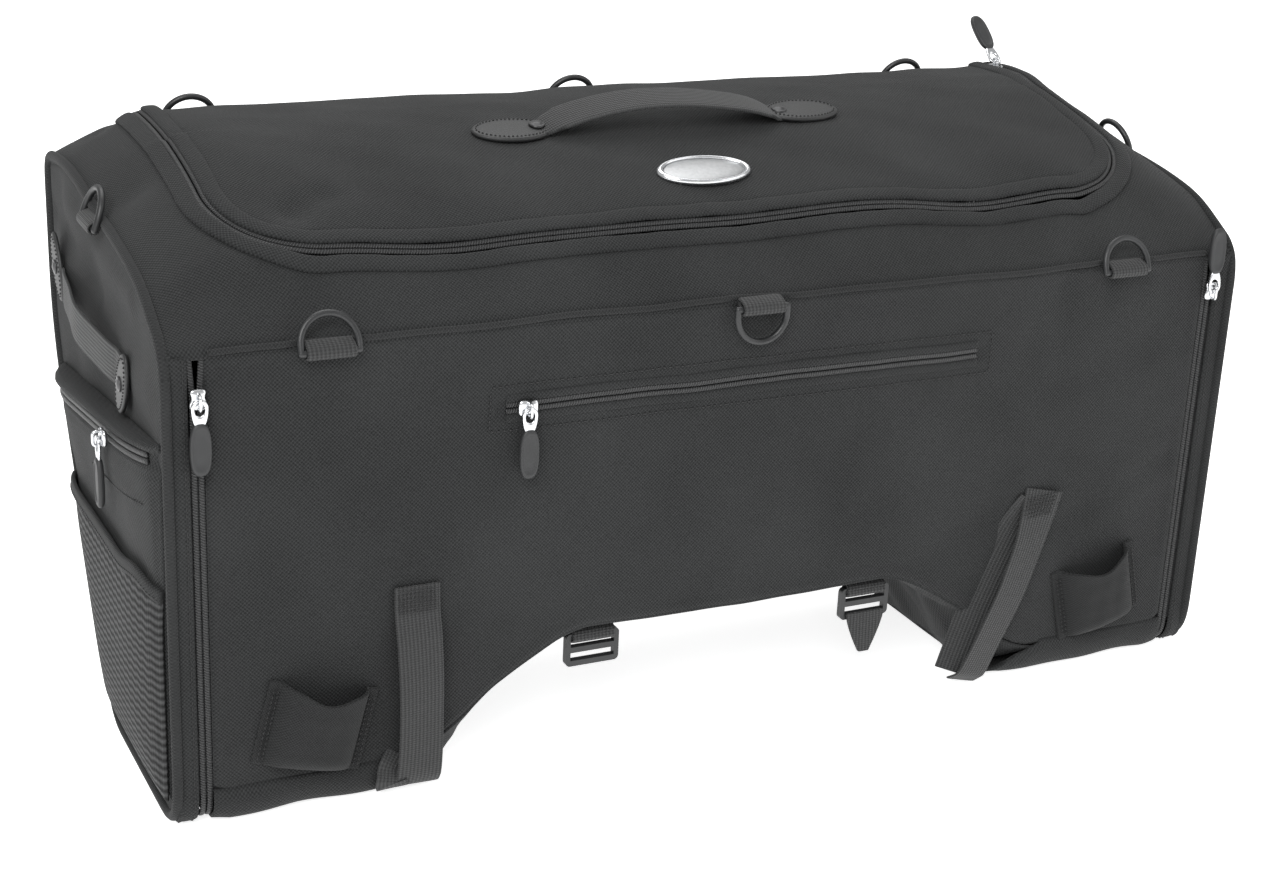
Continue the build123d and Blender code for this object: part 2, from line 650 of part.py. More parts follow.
def buckle_tab():
    """Webbing loop that hangs a buckle from the arch, about the buckle's bar."""
    hole = sqrt(2) * max(BUCKLE_BAR, BUCKLE_T) / 2 + RING_PLAY
    outer = hole + WEB_T
    loop = Cylinder(outer, WEB_W, rotation=(0, 90, 0))
    rise = block(-WEB_W / 2, WEB_W / 2, -WEB_T, WEB_T, 0, BUCKLE_DOWN)
    return (loop + rise) - Cylinder(hole, 2 * WEB_W, rotation=(0, 90, 0))


def buckle_tail():
    """Short webbing end folded over the buckle's lowest bar."""
    bar = -BUCKLE_H + BUCKLE_BAR
    gap = BUCKLE_T / 2 + RING_PLAY
    points = [(-gap - WEB_T, bar + 2), (-gap, bar + 2), (-gap, bar - TAIL_L + 3)]
    points += [(-gap + WEB_T, bar - TAIL_L), (-gap - WEB_T, bar - TAIL_L)]
    return prism_x(points, -WEB_W / 2, WEB_W / 2)


# ---- pieces on the right end panel ---------------------------------------------------------
def side_zip_height(y):
    """Height of the side pocket's zip at y behind the front face."""
    span = DEPTH - SIDE_REAR_IN - SIDE_POCKET_Y0
    return SIDE_ZIP_FRONT_H - SIDE_ZIP_FALL * (y - SIDE_POCKET_Y0) / span


def rear_face(z, inset):
    """How far back the end face reaches at height z, less inset."""
    lean = FOOT_DEPTH + (DEPTH - FOOT_DEPTH) * min(z, TAPER_H) / TAPER_H
    return lean - inset


def side_outline(floor_z, front_top, rear_top, inset):
    """Pocket outline on the end face in Y and Z, between a level floor and a sloping top."""
    front = SIDE_POCKET_Y0 + inset
    stop = SIDE_REAR_IN + inset
    knee = min(TAPER_H, rear_top)
    points = [(front, floor_z), (rear_face(floor_z, stop), floor_z)]
    points += [(rear_face(knee, stop), knee)]
    if rear_top > knee:
        points += [(rear_face(rear_top, stop), rear_top)]
    return points + [(front, front_top)]


def side_pocket():
    """Zipped side pocket: a fabric tray on the end face with a slot behind its zip."""
    rear_y = rear_face(TAPER_H, SIDE_REAR_IN)
    top_front = side_zip_height(SIDE_POCKET_Y0) + SIDE_TOP_BAND
    top_rear = side_zip_height(rear_y) + SIDE_TOP_BAND
    t = SIDE_FABRIC
    floor_z = SIDE_POCKET_FLOOR
    out = HALF + SIDE_POCKET_OUT + t
    shell = prism_x(side_outline(floor_z, top_front, top_rear, 0), HALF, out)
    room = prism_x(side_outline(floor_z + t, top_front - t, top_rear - t, t), 0, out - t)
    front, back = SIDE_POCKET_Y0 + 2 * t, rear_y - 4 * t
    half = (ZIP_W + ZIP_GAP) / 2

    def band(extra):
        return [
            (front, side_zip_height(front) - extra),
            (back, side_zip_height(back) - extra),
            (back, side_zip_height(back) + extra),
            (front, side_zip_height(front) + extra),
        ]

    tray = shell - room - prism_x(band(half), out - 2 * t, out + 1)
    coil = prism_x(band(ZIP_W / 2), out - t, out)
    coil &= block(0, FAR, front + ZIP_GAP / 2, back - ZIP_GAP / 2, 0, FAR)
    return group(tray, coil)


def mesh_pocket():
    """Open-topped mesh pocket over the lower side pocket, with a bound, sloping hem."""
    t = MESH_FABRIC
    base = HALF + SIDE_POCKET_OUT + SIDE_FABRIC
    out = base + MESH_OUT + t
    floor_z = SIDE_POCKET_FLOOR
    rear_top = MESH_FRONT_H - MESH_FALL
    shell = prism_x(side_outline(floor_z, MESH_FRONT_H, rear_top, 0), base, out)
    over = 6 * t
    room = side_outline(floor_z + t, MESH_FRONT_H + over, rear_top + over, t)
    return shell - prism_x(room, 0, out - t)


def side_handle():
    """Webbing grab handle on the end face, with its two oval patches and two rivets."""
    t = PATCH_T
    run = SIDE_HANDLE_SPAN
    half = SIDE_STRAP_W / 2
    start, stop = RIVET_R, run - RIVET_R

    def bow(low):
        middle = (run / 2, 0, SIDE_HANDLE_RISE + low - t)
        return ThreePointArc((start, 0, low), middle, (stop, 0, low))

    def step(x):
        return Line((x, 0, t), (x, 0, t + WEB_T))

    strap = make_face(bow(t) + bow(t + WEB_T) + step(start) + step(stop))
    strap = extrude(strap, half, dir=(0, 1, 0), both=True)
    for x0, x1 in ((-RIVET_R, start), (stop, run + RIVET_R)):
        strap += block(x0, x1, -half, half, t, t + WEB_T)
    pieces = [strap]
    for x, away in ((0, -1), (run, 1)):
        plate = Rot(0, 0, SIDE_PATCH_TURN) * oval(SIDE_PATCH_L, SIDE_PATCH_W, t)
        pieces.append(Pos(x + away * SIDE_PATCH_OUT, 0, 0) * plate)
        pieces.append(Pos(x, 0, t + WEB_T) * rivet())
    frame = Plane(origin=(0, 0, 0), x_dir=(0, 1, 0), z_dir=(1, 0, 0)).location
    place = Pos(HALF, SIDE_HANDLE_Y, SEAM_H - SIDE_HANDLE_DOWN)
    return place * frame * Rot(0, 0, SIDE_HANDLE_CLIMB) * group(*pieces)


# ---- writing the parts ---------------------------------------------------------------------
def zip_pieces():
    """Sliders and pulls, each with the frame that puts it on its own zip."""
    out = on_coil(ZIP_SET)
    side_y = SIDE_POCKET_Y0 + SIDE_SLIDER_BACK
    side_x = HALF + SIDE_POCKET_OUT + SIDE_FABRIC + on_coil(0)
    side = Pos(side_x, side_y, side_zip_height(side_y)) * Rot(0, 0, 90)
    fall = degrees(atan2(SIDE_ZIP_FALL, DEPTH - SIDE_REAR_IN - SIDE_POCKET_Y0))
    corner_h = SEAM_H - CORNER_SLIDER_DOWN
    lid = on_lid(LID_X, LID_BACK - LID_SLIDER_IN) * Pos(0, 0, out) * Rot(-90, 0, 0)
    places = [
        ("front", Pos(-POCKET_HALF + SLIDER_L, -out, POCKET_ZIP_H), False, 0),
        ("corner_left", Pos(-ZIP_X, -out, corner_h), True, 0),
        ("corner_right", Pos(ZIP_X, -out, corner_h), True, RIGHT_PULL_SWING),
        ("side_right", side, False, 0),
        ("lid", lid, True, LID_PULL_SWING),
    ]
    pieces = {}
    for name, frame, upright, swing in places:
        along = Rot(0, fall, 0) if name == "side_right" else Rot(0, 0, 0)
        pieces["slider_" + name] = frame * along * slider(upright)
        pieces["pull_" + name] = frame * Rot(-swing, 0, 0) * pull()
    return pieces


def build():
    """Every node by name, with the front face on y = 0."""
    nodes = {
        "front_panel": front_panel(),
        "rear_panel": rear_panel(),
        "foot_panels": foot_panels(),
        "arch_panel": arch_panel(),
        "top_surround": top_surround(),
        "lid_panel": lid_panel(),
        "lid_zip": lid_zip(),
        "surround_zip": surround_zip(),
        "front_seam_piping": front_seam_piping(),
        "corner_zips": corner_zips(),
        "front_zip": front_zip(),
        "front_pocket": front_pocket(),
        "stiffener_boards": stiffener_boards(),
        "tie_straps": tie_straps(),
        "strap_pockets": strap_pockets(),
    }
    handle_y = (SHOULDER_IN + LID_BACK) / 2
    nodes["carry_strap"] = on_lid(0, handle_y) * carry_strap()
    nodes["handle_patches"] = on_lid(0, handle_y) * handle_patches()
    nodes["handle_rivets"] = on_lid(0, handle_y) * handle_rivets()
    nodes["badge"] = on_lid(0, SHOULDER_IN + BADGE_BACK) * badge()
    ends = {
        "yoke": yoke(),
        "end_panel": end_panel(),
        "end_trim": end_trim(),
        "gusset": gusset(),
        "side_pocket": side_pocket(),
        "mesh_pocket": mesh_pocket(),
        "side_handle": side_handle(),
    }
    zips = zip_pieces()
    ends["slider_side"] = zips.pop("slider_side_right")
    ends["pull_side"] = zips.pop("pull_side_right")
    for name, solid in ends.items():
        nodes[name + "_right"] = solid
        nodes[name + "_left"] = mirror(solid, about=Plane.YZ)
    nodes.update(zips)
    tabs = []
    for name, seam, turn, lean in ring_places():
        frame = at_ring(seam, turn)
        nodes[name] = frame * dring(lean)
        tabs.append(frame * ring_tab())
    nodes["ring_tabs"] = group(*tabs)
    hang = Pos(BUCKLE_X, BUCKLE_IN, ARCH_TOP - BUCKLE_DOWN)
    nodes["buckle_tabs"] = both_sides(hang * buckle_tab())
    nodes["buckle_right"] = hang * buckle()
    nodes["buckle_left"] = mirror(hang * buckle(), about=Plane.YZ)
    nodes["buckle_tail"] = hang * buckle_tail()
    return nodes


os.makedirs("parts", exist_ok=True)
for node_name, node in build().items():
    export_step(Pos(0, FRONT_Y, 0) * node, "parts/" + node_name + ".step")
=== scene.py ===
import bmesh
import bpy
import numpy as np
from mathutils import Matrix, Vector


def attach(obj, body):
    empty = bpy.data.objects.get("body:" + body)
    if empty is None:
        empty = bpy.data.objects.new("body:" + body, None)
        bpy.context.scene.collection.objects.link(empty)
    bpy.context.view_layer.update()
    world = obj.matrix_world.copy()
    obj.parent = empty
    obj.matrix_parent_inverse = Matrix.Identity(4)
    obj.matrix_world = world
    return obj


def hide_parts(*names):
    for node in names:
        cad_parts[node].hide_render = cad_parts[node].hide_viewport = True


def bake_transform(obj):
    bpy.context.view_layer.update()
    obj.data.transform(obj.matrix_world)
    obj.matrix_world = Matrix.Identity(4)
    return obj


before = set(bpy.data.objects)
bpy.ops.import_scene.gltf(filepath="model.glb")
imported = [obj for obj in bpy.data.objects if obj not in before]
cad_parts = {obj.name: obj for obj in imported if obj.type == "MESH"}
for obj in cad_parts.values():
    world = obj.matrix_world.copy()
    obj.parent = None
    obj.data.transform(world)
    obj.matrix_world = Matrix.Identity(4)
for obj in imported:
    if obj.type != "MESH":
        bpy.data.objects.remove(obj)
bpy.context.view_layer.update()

# A soft bag for the seat or rack of a motorcycle. Lengths are in millimetres with the front
# face on y = 0, and put() turns them into metres in the frame.
FRONT_Y = -119.0
SEAM = 251.0
INNER = 294.5
PANEL_T = 2.4
WEB_WIDE = 24.6
TAB_T = 1.3
STITCH_WIDE = 0.42
RING_X = 234.0
BUCKLE_X = 85.0
SIDES = (("left", -1), ("right", 1))


# ---- Finishes, meshes and shapes -------------------------------------------------------------
class Link:
    """A socket of a finish. Sums, products and powers of links add Math nodes."""

    def __init__(self, finish, socket):
        self.finish = finish
        self.socket = socket

    def math(self, kind, *others):
        inputs = dict(enumerate((self,) + others))
        return self.finish.node("Math", {"operation": kind}, inputs)

    def __add__(self, other):
        return self.math("ADD", other)

    __radd__ = __add__

    def __mul__(self, other):
        return self.math("MULTIPLY", other)

    __rmul__ = __mul__

    def __sub__(self, other):
        return self.math("SUBTRACT", other)

    def __rsub__(self, other):
        return self * -1.0 + other

    def __pow__(self, other):
        return self.math("POWER", other)

    def sine(self):
        return self.math("SINE")


class Finish:
    """A node material. node() adds one node, sets it up and joins its inputs."""

    def __init__(self, name):
        self.material = bpy.data.materials.new(name)
        self.material.use_nodes = True
        self.tree = self.material.node_tree
        self.tree.nodes.clear()

    def node(self, kind, settings=None, inputs=None, out=0):
        made = self.tree.nodes.new("ShaderNode" + kind)
        for key, value in (settings or {}).items():
            setattr(made, key, value)
        for key, value in (inputs or {}).items():
            if isinstance(value, Link):
                self.tree.links.new(value.socket, made.inputs[key])
            else:
                made.inputs[key].default_value = value
        return Link(self, made.outputs[out]) if len(made.outputs) else None

    def cloth_uv(self):
        """The piece's own UV map in metres, as two links."""
        uv = self.node("UVMap", {"uv_map": "cloth"})
        along = self.node("SeparateXYZ", None, {0: uv})
        return along, Link(self, along.socket.node.outputs[1])

    def cloud(self, scale, detail=2.0):
        """Soft random pattern fixed to the object."""
        place = self.node("TexCoord", None, None, 3)
        return self.node("TexNoise", None, {"Vector": place, "Scale": scale, "Detail": detail})

    def blend(self, share, low, high):
        """Colour between two colours by a share."""
        a = (*low, 1.0)
        b = (*high, 1.0)
        return self.node("Mix", {"data_type": "RGBA"}, {0: share, 6: a, 7: b}, 2)

    def surface(self, colour, roughness, height=None, depth=0.001, strength=1.0, **fixed):
        """The shader, with a bump from height, which is 0 to 1 times depth in metres."""
        inputs = {"Base Color": colour, "Roughness": roughness}
        inputs.update({key.replace("_", " "): value for key, value in fixed.items()})
        if height is not None:
            bump = {"Height": height, "Distance": depth, "Strength": strength}
            inputs["Normal"] = self.node("Bump", None, bump)
        shader = self.node("BsdfPrincipled", None, inputs)
        self.node("OutputMaterial", None, {0: shader})
        return self.material


def weave_finish(name, low, high, cell, depth, sheen=0.05):
    """Woven cloth: each thread crossing is a bump, sin(u) times sin(v), over slow tone changes. The
    crossings are also painted lighter on top and darker in the hollows between them: painted highlight and
    painted shade.
    """
    finish = Finish(name)
    u, v = finish.cloth_uv()
    over = (u * (np.pi / cell)).sine() * (v * (np.pi / cell)).sine() * 0.5 + 0.5
    fuzz = finish.cloud(900.0)
    slow = finish.cloud(14.0, 4.0)
    # The crossing pattern over lightens the colour on the thread tops and darkens the hollows, a painted
    # highlight and painted shade; fuzz and slow are random tone.
    share = over * 0.55 + fuzz * 0.45 + slow * 0.5 - 0.25
    colour = finish.blend(share, low, high)
    rough = 0.94 - over * 0.14
    return finish.surface(
        colour, rough, over * 0.8 + fuzz * 0.4, depth,
        Sheen_Weight=sheen, Sheen_Roughness=0.5, Specular_IOR_Level=0.22,
    )


BAG_CLOTH = weave_finish(
    "ballistic_nylon", (0.003, 0.0032, 0.0033), (0.040, 0.0415, 0.042), 0.00105, 0.0005
)


def put(name, points, uv, faces, material, smooth=True):
    """A mesh object from points and a UV pair for each point, in millimetres, and faces."""
    points = np.asarray(points, float).reshape(-1, 3)
    places = (points + (0.0, FRONT_Y, 0.0)) * 0.001
    mesh = bpy.data.meshes.new(name)
    mesh.from_pydata(places.tolist(), [], [list(map(int, f)) for f in faces])
    layer = mesh.uv_layers.new(name="cloth")
    corner = np.empty(len(mesh.loops), np.int32)
    mesh.loops.foreach_get("vertex_index", corner)
    uv = np.asarray(np.asarray(uv, float) * 0.001, np.float32).reshape(-1, 2)
    layer.data.foreach_set("uv", uv[corner].ravel())
    mesh.polygons.foreach_set("use_smooth", [smooth] * len(mesh.polygons))
    mesh.materials.append(material)
    made = bpy.data.objects.new(name, mesh)
    bpy.context.scene.collection.objects.link(made)
    return made


def belongs(made, body, slot, *nodes):
    """Ties a piece to its body and hides the nodes it is shown for. The slot is not used."""
    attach(made, body)
    if nodes:
        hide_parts(*nodes)
    return made


def coat(node_name, material):
    """Gives a material to a node that is shown as it is."""
    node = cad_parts[node_name]
    node.data.materials.clear()
    node.data.materials.append(material)


def tidy(made):
    """Joins points that lie together and turns the faces of a closed mesh outwards."""
    work = bmesh.new()
    work.from_mesh(made.data)
    bmesh.ops.remove_doubles(work, verts=work.verts, dist=2e-6)
    bmesh.ops.recalc_face_normals(work, faces=work.faces)
    work.to_mesh(made.data)
    work.free()
    return made


def grid_faces(rows, columns, flip=False, ring=False):
    """Quads of a grid of points, row after row; ring joins the last column to the first."""
    i = np.arange(rows - 1)[:, None]
    j = np.arange(columns if ring else columns - 1)[None, :]
    k = (j + 1) % columns
    quad = [i * columns + j, (i + 1) * columns + j, (i + 1) * columns + k, i * columns + k]
    faces = np.stack([q + 0 * i + 0 * j for q in quad], -1).reshape(-1, 4)
    return faces[:, ::-1] if flip else faces


def sheet_of(name, points, uv, material, thick, flip=False):
    """A cloth sheet from a grid of points, given its thickness behind its face."""
    rows, columns = points.shape[:2]
    made = put(name, points, uv, grid_faces(rows, columns, flip), material)
    wall = made.modifiers.new("wall", "SOLIDIFY")
    wall.thickness = thick * 0.001
    wall.offset = -1.0
    return made


def rumple(a, b, seed, size, waves=10):
    """Slow unevenness of cloth: sine waves in random directions, added up, about -1 to 1."""
    rng = np.random.default_rng(seed)
    turn = rng.uniform(0.0, np.pi, waves)
    phase = rng.uniform(0.0, 2.0 * np.pi, waves)
    rate = 2.0 * np.pi / (size * rng.uniform(0.7, 2.0, waves))
    along = a[..., None] * np.cos(turn) + b[..., None] * np.sin(turn)
    return np.sin(along * rate + phase).sum(-1) / np.sqrt(waves) / 1.3


def run_length(path):
    """Length of a path up to each of its points."""
    return np.concatenate([[0.0], np.cumsum(np.linalg.norm(np.diff(path, axis=0), axis=1))])


def read_off(at, gone, values):
    """Rows of values, given at the lengths in gone, read off at other lengths."""
    return np.stack([np.interp(at, gone, column) for column in np.transpose(values)], -1)


def bell(away, width, power=2):
    """1 where away is 0, falling to 0 beyond the width."""
    return np.exp(-((away / width) ** power))


def part(value):
    """The value kept between 0 and 1."""
    return np.clip(value, 0.0, 1.0)


def smeared(values, reach, width):
    """Values rounded off along their row by a bell-shaped average."""
    shares = bell(np.arange(-reach, reach + 1), width)
    return np.convolve(np.pad(values, reach, "edge"), shares / shares.sum(), "valid")


def crease(a, b, a0, b0, a1, b1, width):
    """A soft ridge of height 1 along a line: a bell curve of the distance to the line."""
    da, db = a1 - a0, b1 - b0
    t = part(((a - a0) * da + (b - b0) * db) / (da * da + db * db))
    away = np.hypot(a - a0 - t * da, b - b0 - t * db)
    return bell(away, width)


# ---- Front panel ---------------------------------------------------------------------------
# One cut of coarse ballistic nylon backed with foam, sewn in along all its edges. Its lower
# edge follows the arch.
ARCH_X = [0, 72, 93, 108, 128, 147, 163, 178, 192, 206, 280, 287, 290.5, 293, 294.5]
ARCH_Z = [76, 77, 77.5, 73, 62, 50, 36, 26, 19, 17, 17, 17, 18.2, 21, 25]
even_x = np.arange(0.0, 296.0, 1.0)
even_z = np.interp(even_x, ARCH_X, ARCH_Z)
even_z = np.convolve(np.pad(even_z, 5, "edge"), np.ones(11) / 11.0, "valid")


def arch_edge(x):
    """Height of the front panel's lower edge: the arch between two level feet."""
    return np.interp(np.abs(x), even_x, even_z)


def front_depth(x, z):
    """How far the front panel lies behind its face: sag, darts at the seam and long folds."""
    d = 0.9 + 0.7 * rumple(x, z, 3, 70.0) + 0.25 * rumple(x, z, 4, 24.0)
    top = np.exp(-(SEAM - z) / 26.0)
    for at, deep in ((-262, 1.2), (-52, 1.6), (-4, 1.0), (60, 1.0), (197, 2.6), (226, 1.6)):
        d += deep * top * bell(x - at, 7.0)
    d -= 1.1 * crease(x, z, 186, 66, 262, 120, 16.0)
    d += 1.6 * crease(x, z, 214, 96, 286, 128, 9.0)
    d += 1.4 * crease(x, z, 110, 84, 160, 104, 10.0)
    d -= 1.2 * crease(x, z, 200, 150, 280, 175, 26.0)
    d += 1.0 * crease(x, z, -120, 84, -90, 100, 9.0)
    return np.clip(d, 0.0, 4.0)


across, up = np.meshgrid(np.linspace(-INNER, INNER, 270), np.linspace(0.0, 1.0, 110), indexing="ij")
low = arch_edge(across)
height = low + up * (SEAM - low)
edge = np.minimum(np.minimum(height - low, SEAM - height), INNER - np.abs(across))
sunk = front_depth(across, height) * part(edge / 9.0) + 1.9 * bell(edge, 1.9)
sunk += 1.2 * bell(height - 206.0, 4.5, 8) * (np.abs(across) < 146.0)
front = np.stack([across, sunk, height], -1)
front_cloth = sheet_of("front_cloth", front, front[..., [0, 2]], BAG_CLOTH, PANEL_T)
belongs(front_cloth, "shell", "bag_fabric", "front_panel")

# ---- Top ------------------------------------------------------------------------------------
# The top is one crowned cloth, cut by the lid's zip. In front of the zip it slopes down to the
# front seam, and at both ends it droops to the end ridges, so nothing on it is quite level.
CREST = 321.0
LID_X = 272.0
LID_Y = 36.0
LID_R = 50.0
LID_BACK = 212.0
DEPTH = 245.0
HALF = 314.0
CROWN_Y, CROWN_Z, CROWN_R = 197.887, -58.227, 379.49
profile_y = np.arange(-20.0, 266.0, 1.0)
profile_z = CROWN_Z + np.sqrt(CROWN_R**2 - (profile_y - CROWN_Y) ** 2)
profile_z = np.where(profile_y < LID_Y, SEAM + profile_y * 34.0 / LID_Y, profile_z)
rear_slope = CREST - (profile_y - LID_BACK) * 15.0 / 33.0
profile_z = np.where(profile_y > LID_BACK, rear_slope, profile_z)
profile_z = smeared(profile_z, 12, 5.0)


def lid_distance(x, y):
    """Distance inside the lid's outline, a rectangle with round front corners."""
    qx = np.abs(x) - (LID_X - LID_R)
    qy = LID_Y + LID_R - y
    corner = LID_R - np.hypot(np.maximum(qx, 0.0), np.maximum(qy, 0.0))
    flat = np.minimum(LID_X - np.abs(x), y - LID_Y)
    return np.where((qx > 0.0) & (qy > 0.0), corner, flat)


def top_height(x, y):
    """Height of the top: the crown, its droop at the ends, the zip's waves and soft hollows."""
    z = np.interp(y, profile_y, profile_z)
    out = part((np.abs(x) - 268.0) / 46.0)
    share = np.interp(y, [0.0, LID_Y, 124.0, LID_BACK, DEPTH], [0.0, 0.5, 1.0, 1.0, 0.6])
    z = z - 27.0 * out**1.7 * share
    near = bell(lid_distance(x, y), 22.0) * (y < 150.0)
    wave = 1.8 * np.sin((x + 40.0) / 46.0) + 1.4 * np.sin((x - 30.0) / 27.0)
    z = z + wave * near * part((y - 8.0) / 20.0) * part((290.0 - np.abs(x)) / 60.0)
    z = z + 0.9 * rumple(x, y, 11, 80.0) * part(y / 20.0)
    z = z + 5.0 * crease(x, y, 284, 175, 292, 238, 20.0)
    z = z - 4.0 * crease(x, y, -296, 120, -290, 215, 12.0)
    z = z - 2.6 * crease(x, y, 205, 6, 222, 26, 9.0)
    z = z - 1.8 * crease(x, y, -246, 4, -236, 22, 7.0)
    return z


def lid_height(x, y):
    """Height of the lid's cloth: the top with a puffed edge inside the zip."""
    inside = np.clip(lid_distance(x, y), 0.0, None)
    puff = 2.6 * (1.0 - np.exp(-inside / 11.0)) * part((LID_BACK - y) / 40.0)
    hollow = 3.0 * crease(x, y, -232, 62, -214, 74, 9.0) + 1.6 * crease(x, y, 120, 60, 190, 130, 24.0)
    return top_height(x, y) + puff - hollow + 0.5 * rumple(x, y, 12, 38.0)


def u_loop(x, y0, radius, back, turns=28):
    """Points of an open outline: back along the left side, round two corners, along the right."""
    side = np.linspace(back, y0 + radius, 64)
    swing = np.linspace(0.0, np.pi / 2.0, turns)[1:-1]
    ahead = np.linspace(-(x - radius), x - radius, 200)
    left = np.stack([np.full_like(side, -x), side], -1)
    bend = np.stack([-(x - radius) - radius * np.cos(swing), y0 + radius - radius * np.sin(swing)], -1)
    front_run = np.stack([ahead, np.full_like(ahead, y0)], -1)
    half = np.concatenate([left, bend])
    other = half[::-1] * (-1.0, 1.0)
    return np.concatenate([half, front_run, other])


FLANGE = 10.5
TUCK = 7.5
inner_loop = u_loop(LID_X + TUCK, LID_Y - TUCK, LID_R + TUCK, DEPTH)
outer_loop = u_loop(HALF, 0.0, 8.0, DEPTH)
share = np.linspace(0.0, 1.0, 22)[None, :, None]
plan = inner_loop[:, None] + (outer_loop - inner_loop)[:, None] * share
x, y = plan[..., 0], plan[..., 1]
rim = np.minimum(HALF - np.abs(x), y)
seam_dip = 2.0 * bell(rim, 2.0) + 1.3 * bell(share[..., 0] * 20.0, 2.2)
top = np.stack([x, y + 0.0 * x, top_height(x, y) - seam_dip - 0.4], -1)
top_uv = np.stack([x, np.interp(y, profile_y, np.cumsum(np.hypot(1.0, np.gradient(profile_z))))], -1)
top_cloth = sheet_of("top_cloth", top, top_uv, BAG_CLOTH, PANEL_T, flip=True)
belongs(top_cloth, "shell", "bag_fabric", "top_surround", "yoke_left", "yoke_right")

# ---- Lid ------------------------------------------------------------------------------------
# Crowned cloth inside the zip. It has no hinge of its own: behind the zip's ends it runs on
# over the crest to the rear seam.
LID_STRAIGHT = LID_BACK - 8.0
lid_y = np.concatenate([
    np.linspace(LID_Y + TUCK, LID_STRAIGHT, 92), np.linspace(LID_BACK - 5.0, DEPTH, 18),
])
reach = LID_X - TUCK
turn = np.clip(LID_R - TUCK - (lid_y - LID_Y - TUCK), 0.0, None)
half_x = reach - (LID_R - TUCK) + np.sqrt(np.maximum((LID_R - TUCK) ** 2 - turn**2, 0.0))
widened = reach + np.clip(lid_y - LID_BACK + 8.0, 0.0, 8.0) / 8.0 * 2 * TUCK
half_x = np.where(lid_y > LID_STRAIGHT, widened, half_x)
x = np.linspace(-1.0, 1.0, 230)[:, None] * half_x[None, :]
y = np.broadcast_to(lid_y, x.shape)
border = np.minimum(half_x[None, :] - np.abs(x), y - LID_Y - TUCK)
border = np.where(y > LID_STRAIGHT, half_x[None, :] - np.abs(x), border)
dip = 2.6 * bell(border, 1.7) + 2.0 * bell(DEPTH - y, 2.0)
lid = np.stack([x, y, lid_height(x, y) - dip - 0.4], -1)
lid_uv = np.stack([x, np.interp(y, profile_y, np.cumsum(np.hypot(1.0, np.gradient(profile_z))))], -1)
lid_cloth = sheet_of("lid_cloth", lid, lid_uv, BAG_CLOTH, PANEL_T)
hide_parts("lid_panel")
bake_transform(lid_cloth)

# ---- Zips -----------------------------------------------------------------------------------
# Black coil zips. Each half is a woven tape with a coil along its edge, and a folded flange of
# the bag's cloth hides the tape. The coil turns show as fine ridges along the chain.


def zip_finish():
    """Coil turns as ridges along the zip, painted lighter on top and darker between them: painted highlight
    and painted shade.
    """
    finish = Finish("zip_coil")
    u, v = finish.cloth_uv()
    turns = ((u + v * 0.35) * (2.0 * np.pi / 0.00145)).sine() * 0.5 + 0.5
    wear = finish.cloud(60.0)
    # The colour is a painted highlight on each coil turn and painted shade between the turns, with random
    # wear tone mixed in.
    colour = finish.blend(turns * 0.8 + wear * 0.2, (0.004, 0.004, 0.0042), (0.05, 0.051, 0.052))
    return finish.surface(colour, 0.62 - turns * 0.25, turns, 0.0006, 1.0, Specular_IOR_Level=0.5)


ZIP_COIL = zip_finish()


def spread(path, step):
    """The same path with its points step millimetres apart."""
    gone = run_length(path)
    count = max(int(round(gone[-1] / step)), 2)
    at = np.linspace(0.0, gone[-1], count + 1)
    return read_off(at, gone, path)


def sweep(name, path, normal, outline, material, cap=True):
    """Carries an outline along a path: point (a, b) goes a to the side and b along the normal."""
    path = np.asarray(path, float)
    normal = np.broadcast_to(np.asarray(normal, float), path.shape)
    ahead = np.gradient(path, axis=0)
    ahead /= np.linalg.norm(ahead, axis=1, keepdims=True)
    side = np.cross(ahead, normal)
    side /= np.linalg.norm(side, axis=1, keepdims=True)
    upward = np.cross(side, ahead)
    outline = np.asarray(outline, float)
    outline = np.broadcast_to(outline, (len(path),) + outline.shape[-2:])
    points = path[:, None] + outline[..., :1] * side[:, None] + outline[..., 1:] * upward[:, None]
    rows, columns = points.shape[:2]
    gone = run_length(path)
    uv = np.stack(np.broadcast_arrays(gone[:, None], outline[..., 0]), -1)
    faces = [list(f) for f in grid_faces(rows, columns, ring=True)]
    if cap:
        faces += [list(range(columns)), list(range((rows - 1) * columns, rows * columns))]
    return tidy(put(name, points, uv, faces, material))


def squared(wave, power):
    """A sine or cosine flattened towards its ends, which squares off a round shape."""
    return np.sign(wave) * np.abs(wave) ** power


def round_turn(count):
    """Angles once round, without the last one, which would lie on the first."""
    return np.linspace(0.0, 2.0 * np.pi, count, endpoint=False)


def oval_outline(wide, high, count=14, power=1.0):
    """Points of an ellipse, squared off when power is under 1."""
    turn = round_turn(count)
    return np.stack([wide * squared(np.cos(turn), power), high * squared(np.sin(turn), power)], -1)


def surface_normal(height, x, y):
    """Upward normal of a height function."""
    dx = (height(x + 0.5, y) - height(x - 0.5, y))
    dy = (height(x, y + 0.5) - height(x, y - 0.5))
    n = np.stack([-dx, -dy, np.ones_like(dx)], -1)
    return n / np.linalg.norm(n, axis=-1, keepdims=True)


def zip_half(name, path, normal, side, body, node, slot="zip_coil", opening=0.0):
    """One half of a chain: a round coil beside the middle line."""
    shape = oval_outline(1.55, 1.0, 12)
    offset = np.asarray(opening) + 1.75
    offset = np.broadcast_to(offset, (len(path),))
    outline = shape[None] + np.stack([side * offset, 0.0 * offset], -1)[:, None]
    made = sweep(name, path - np.asarray(normal) * 1.2, normal, outline, ZIP_COIL)
    belongs(made, body, slot)
    if node:
        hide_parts(node)
    return made


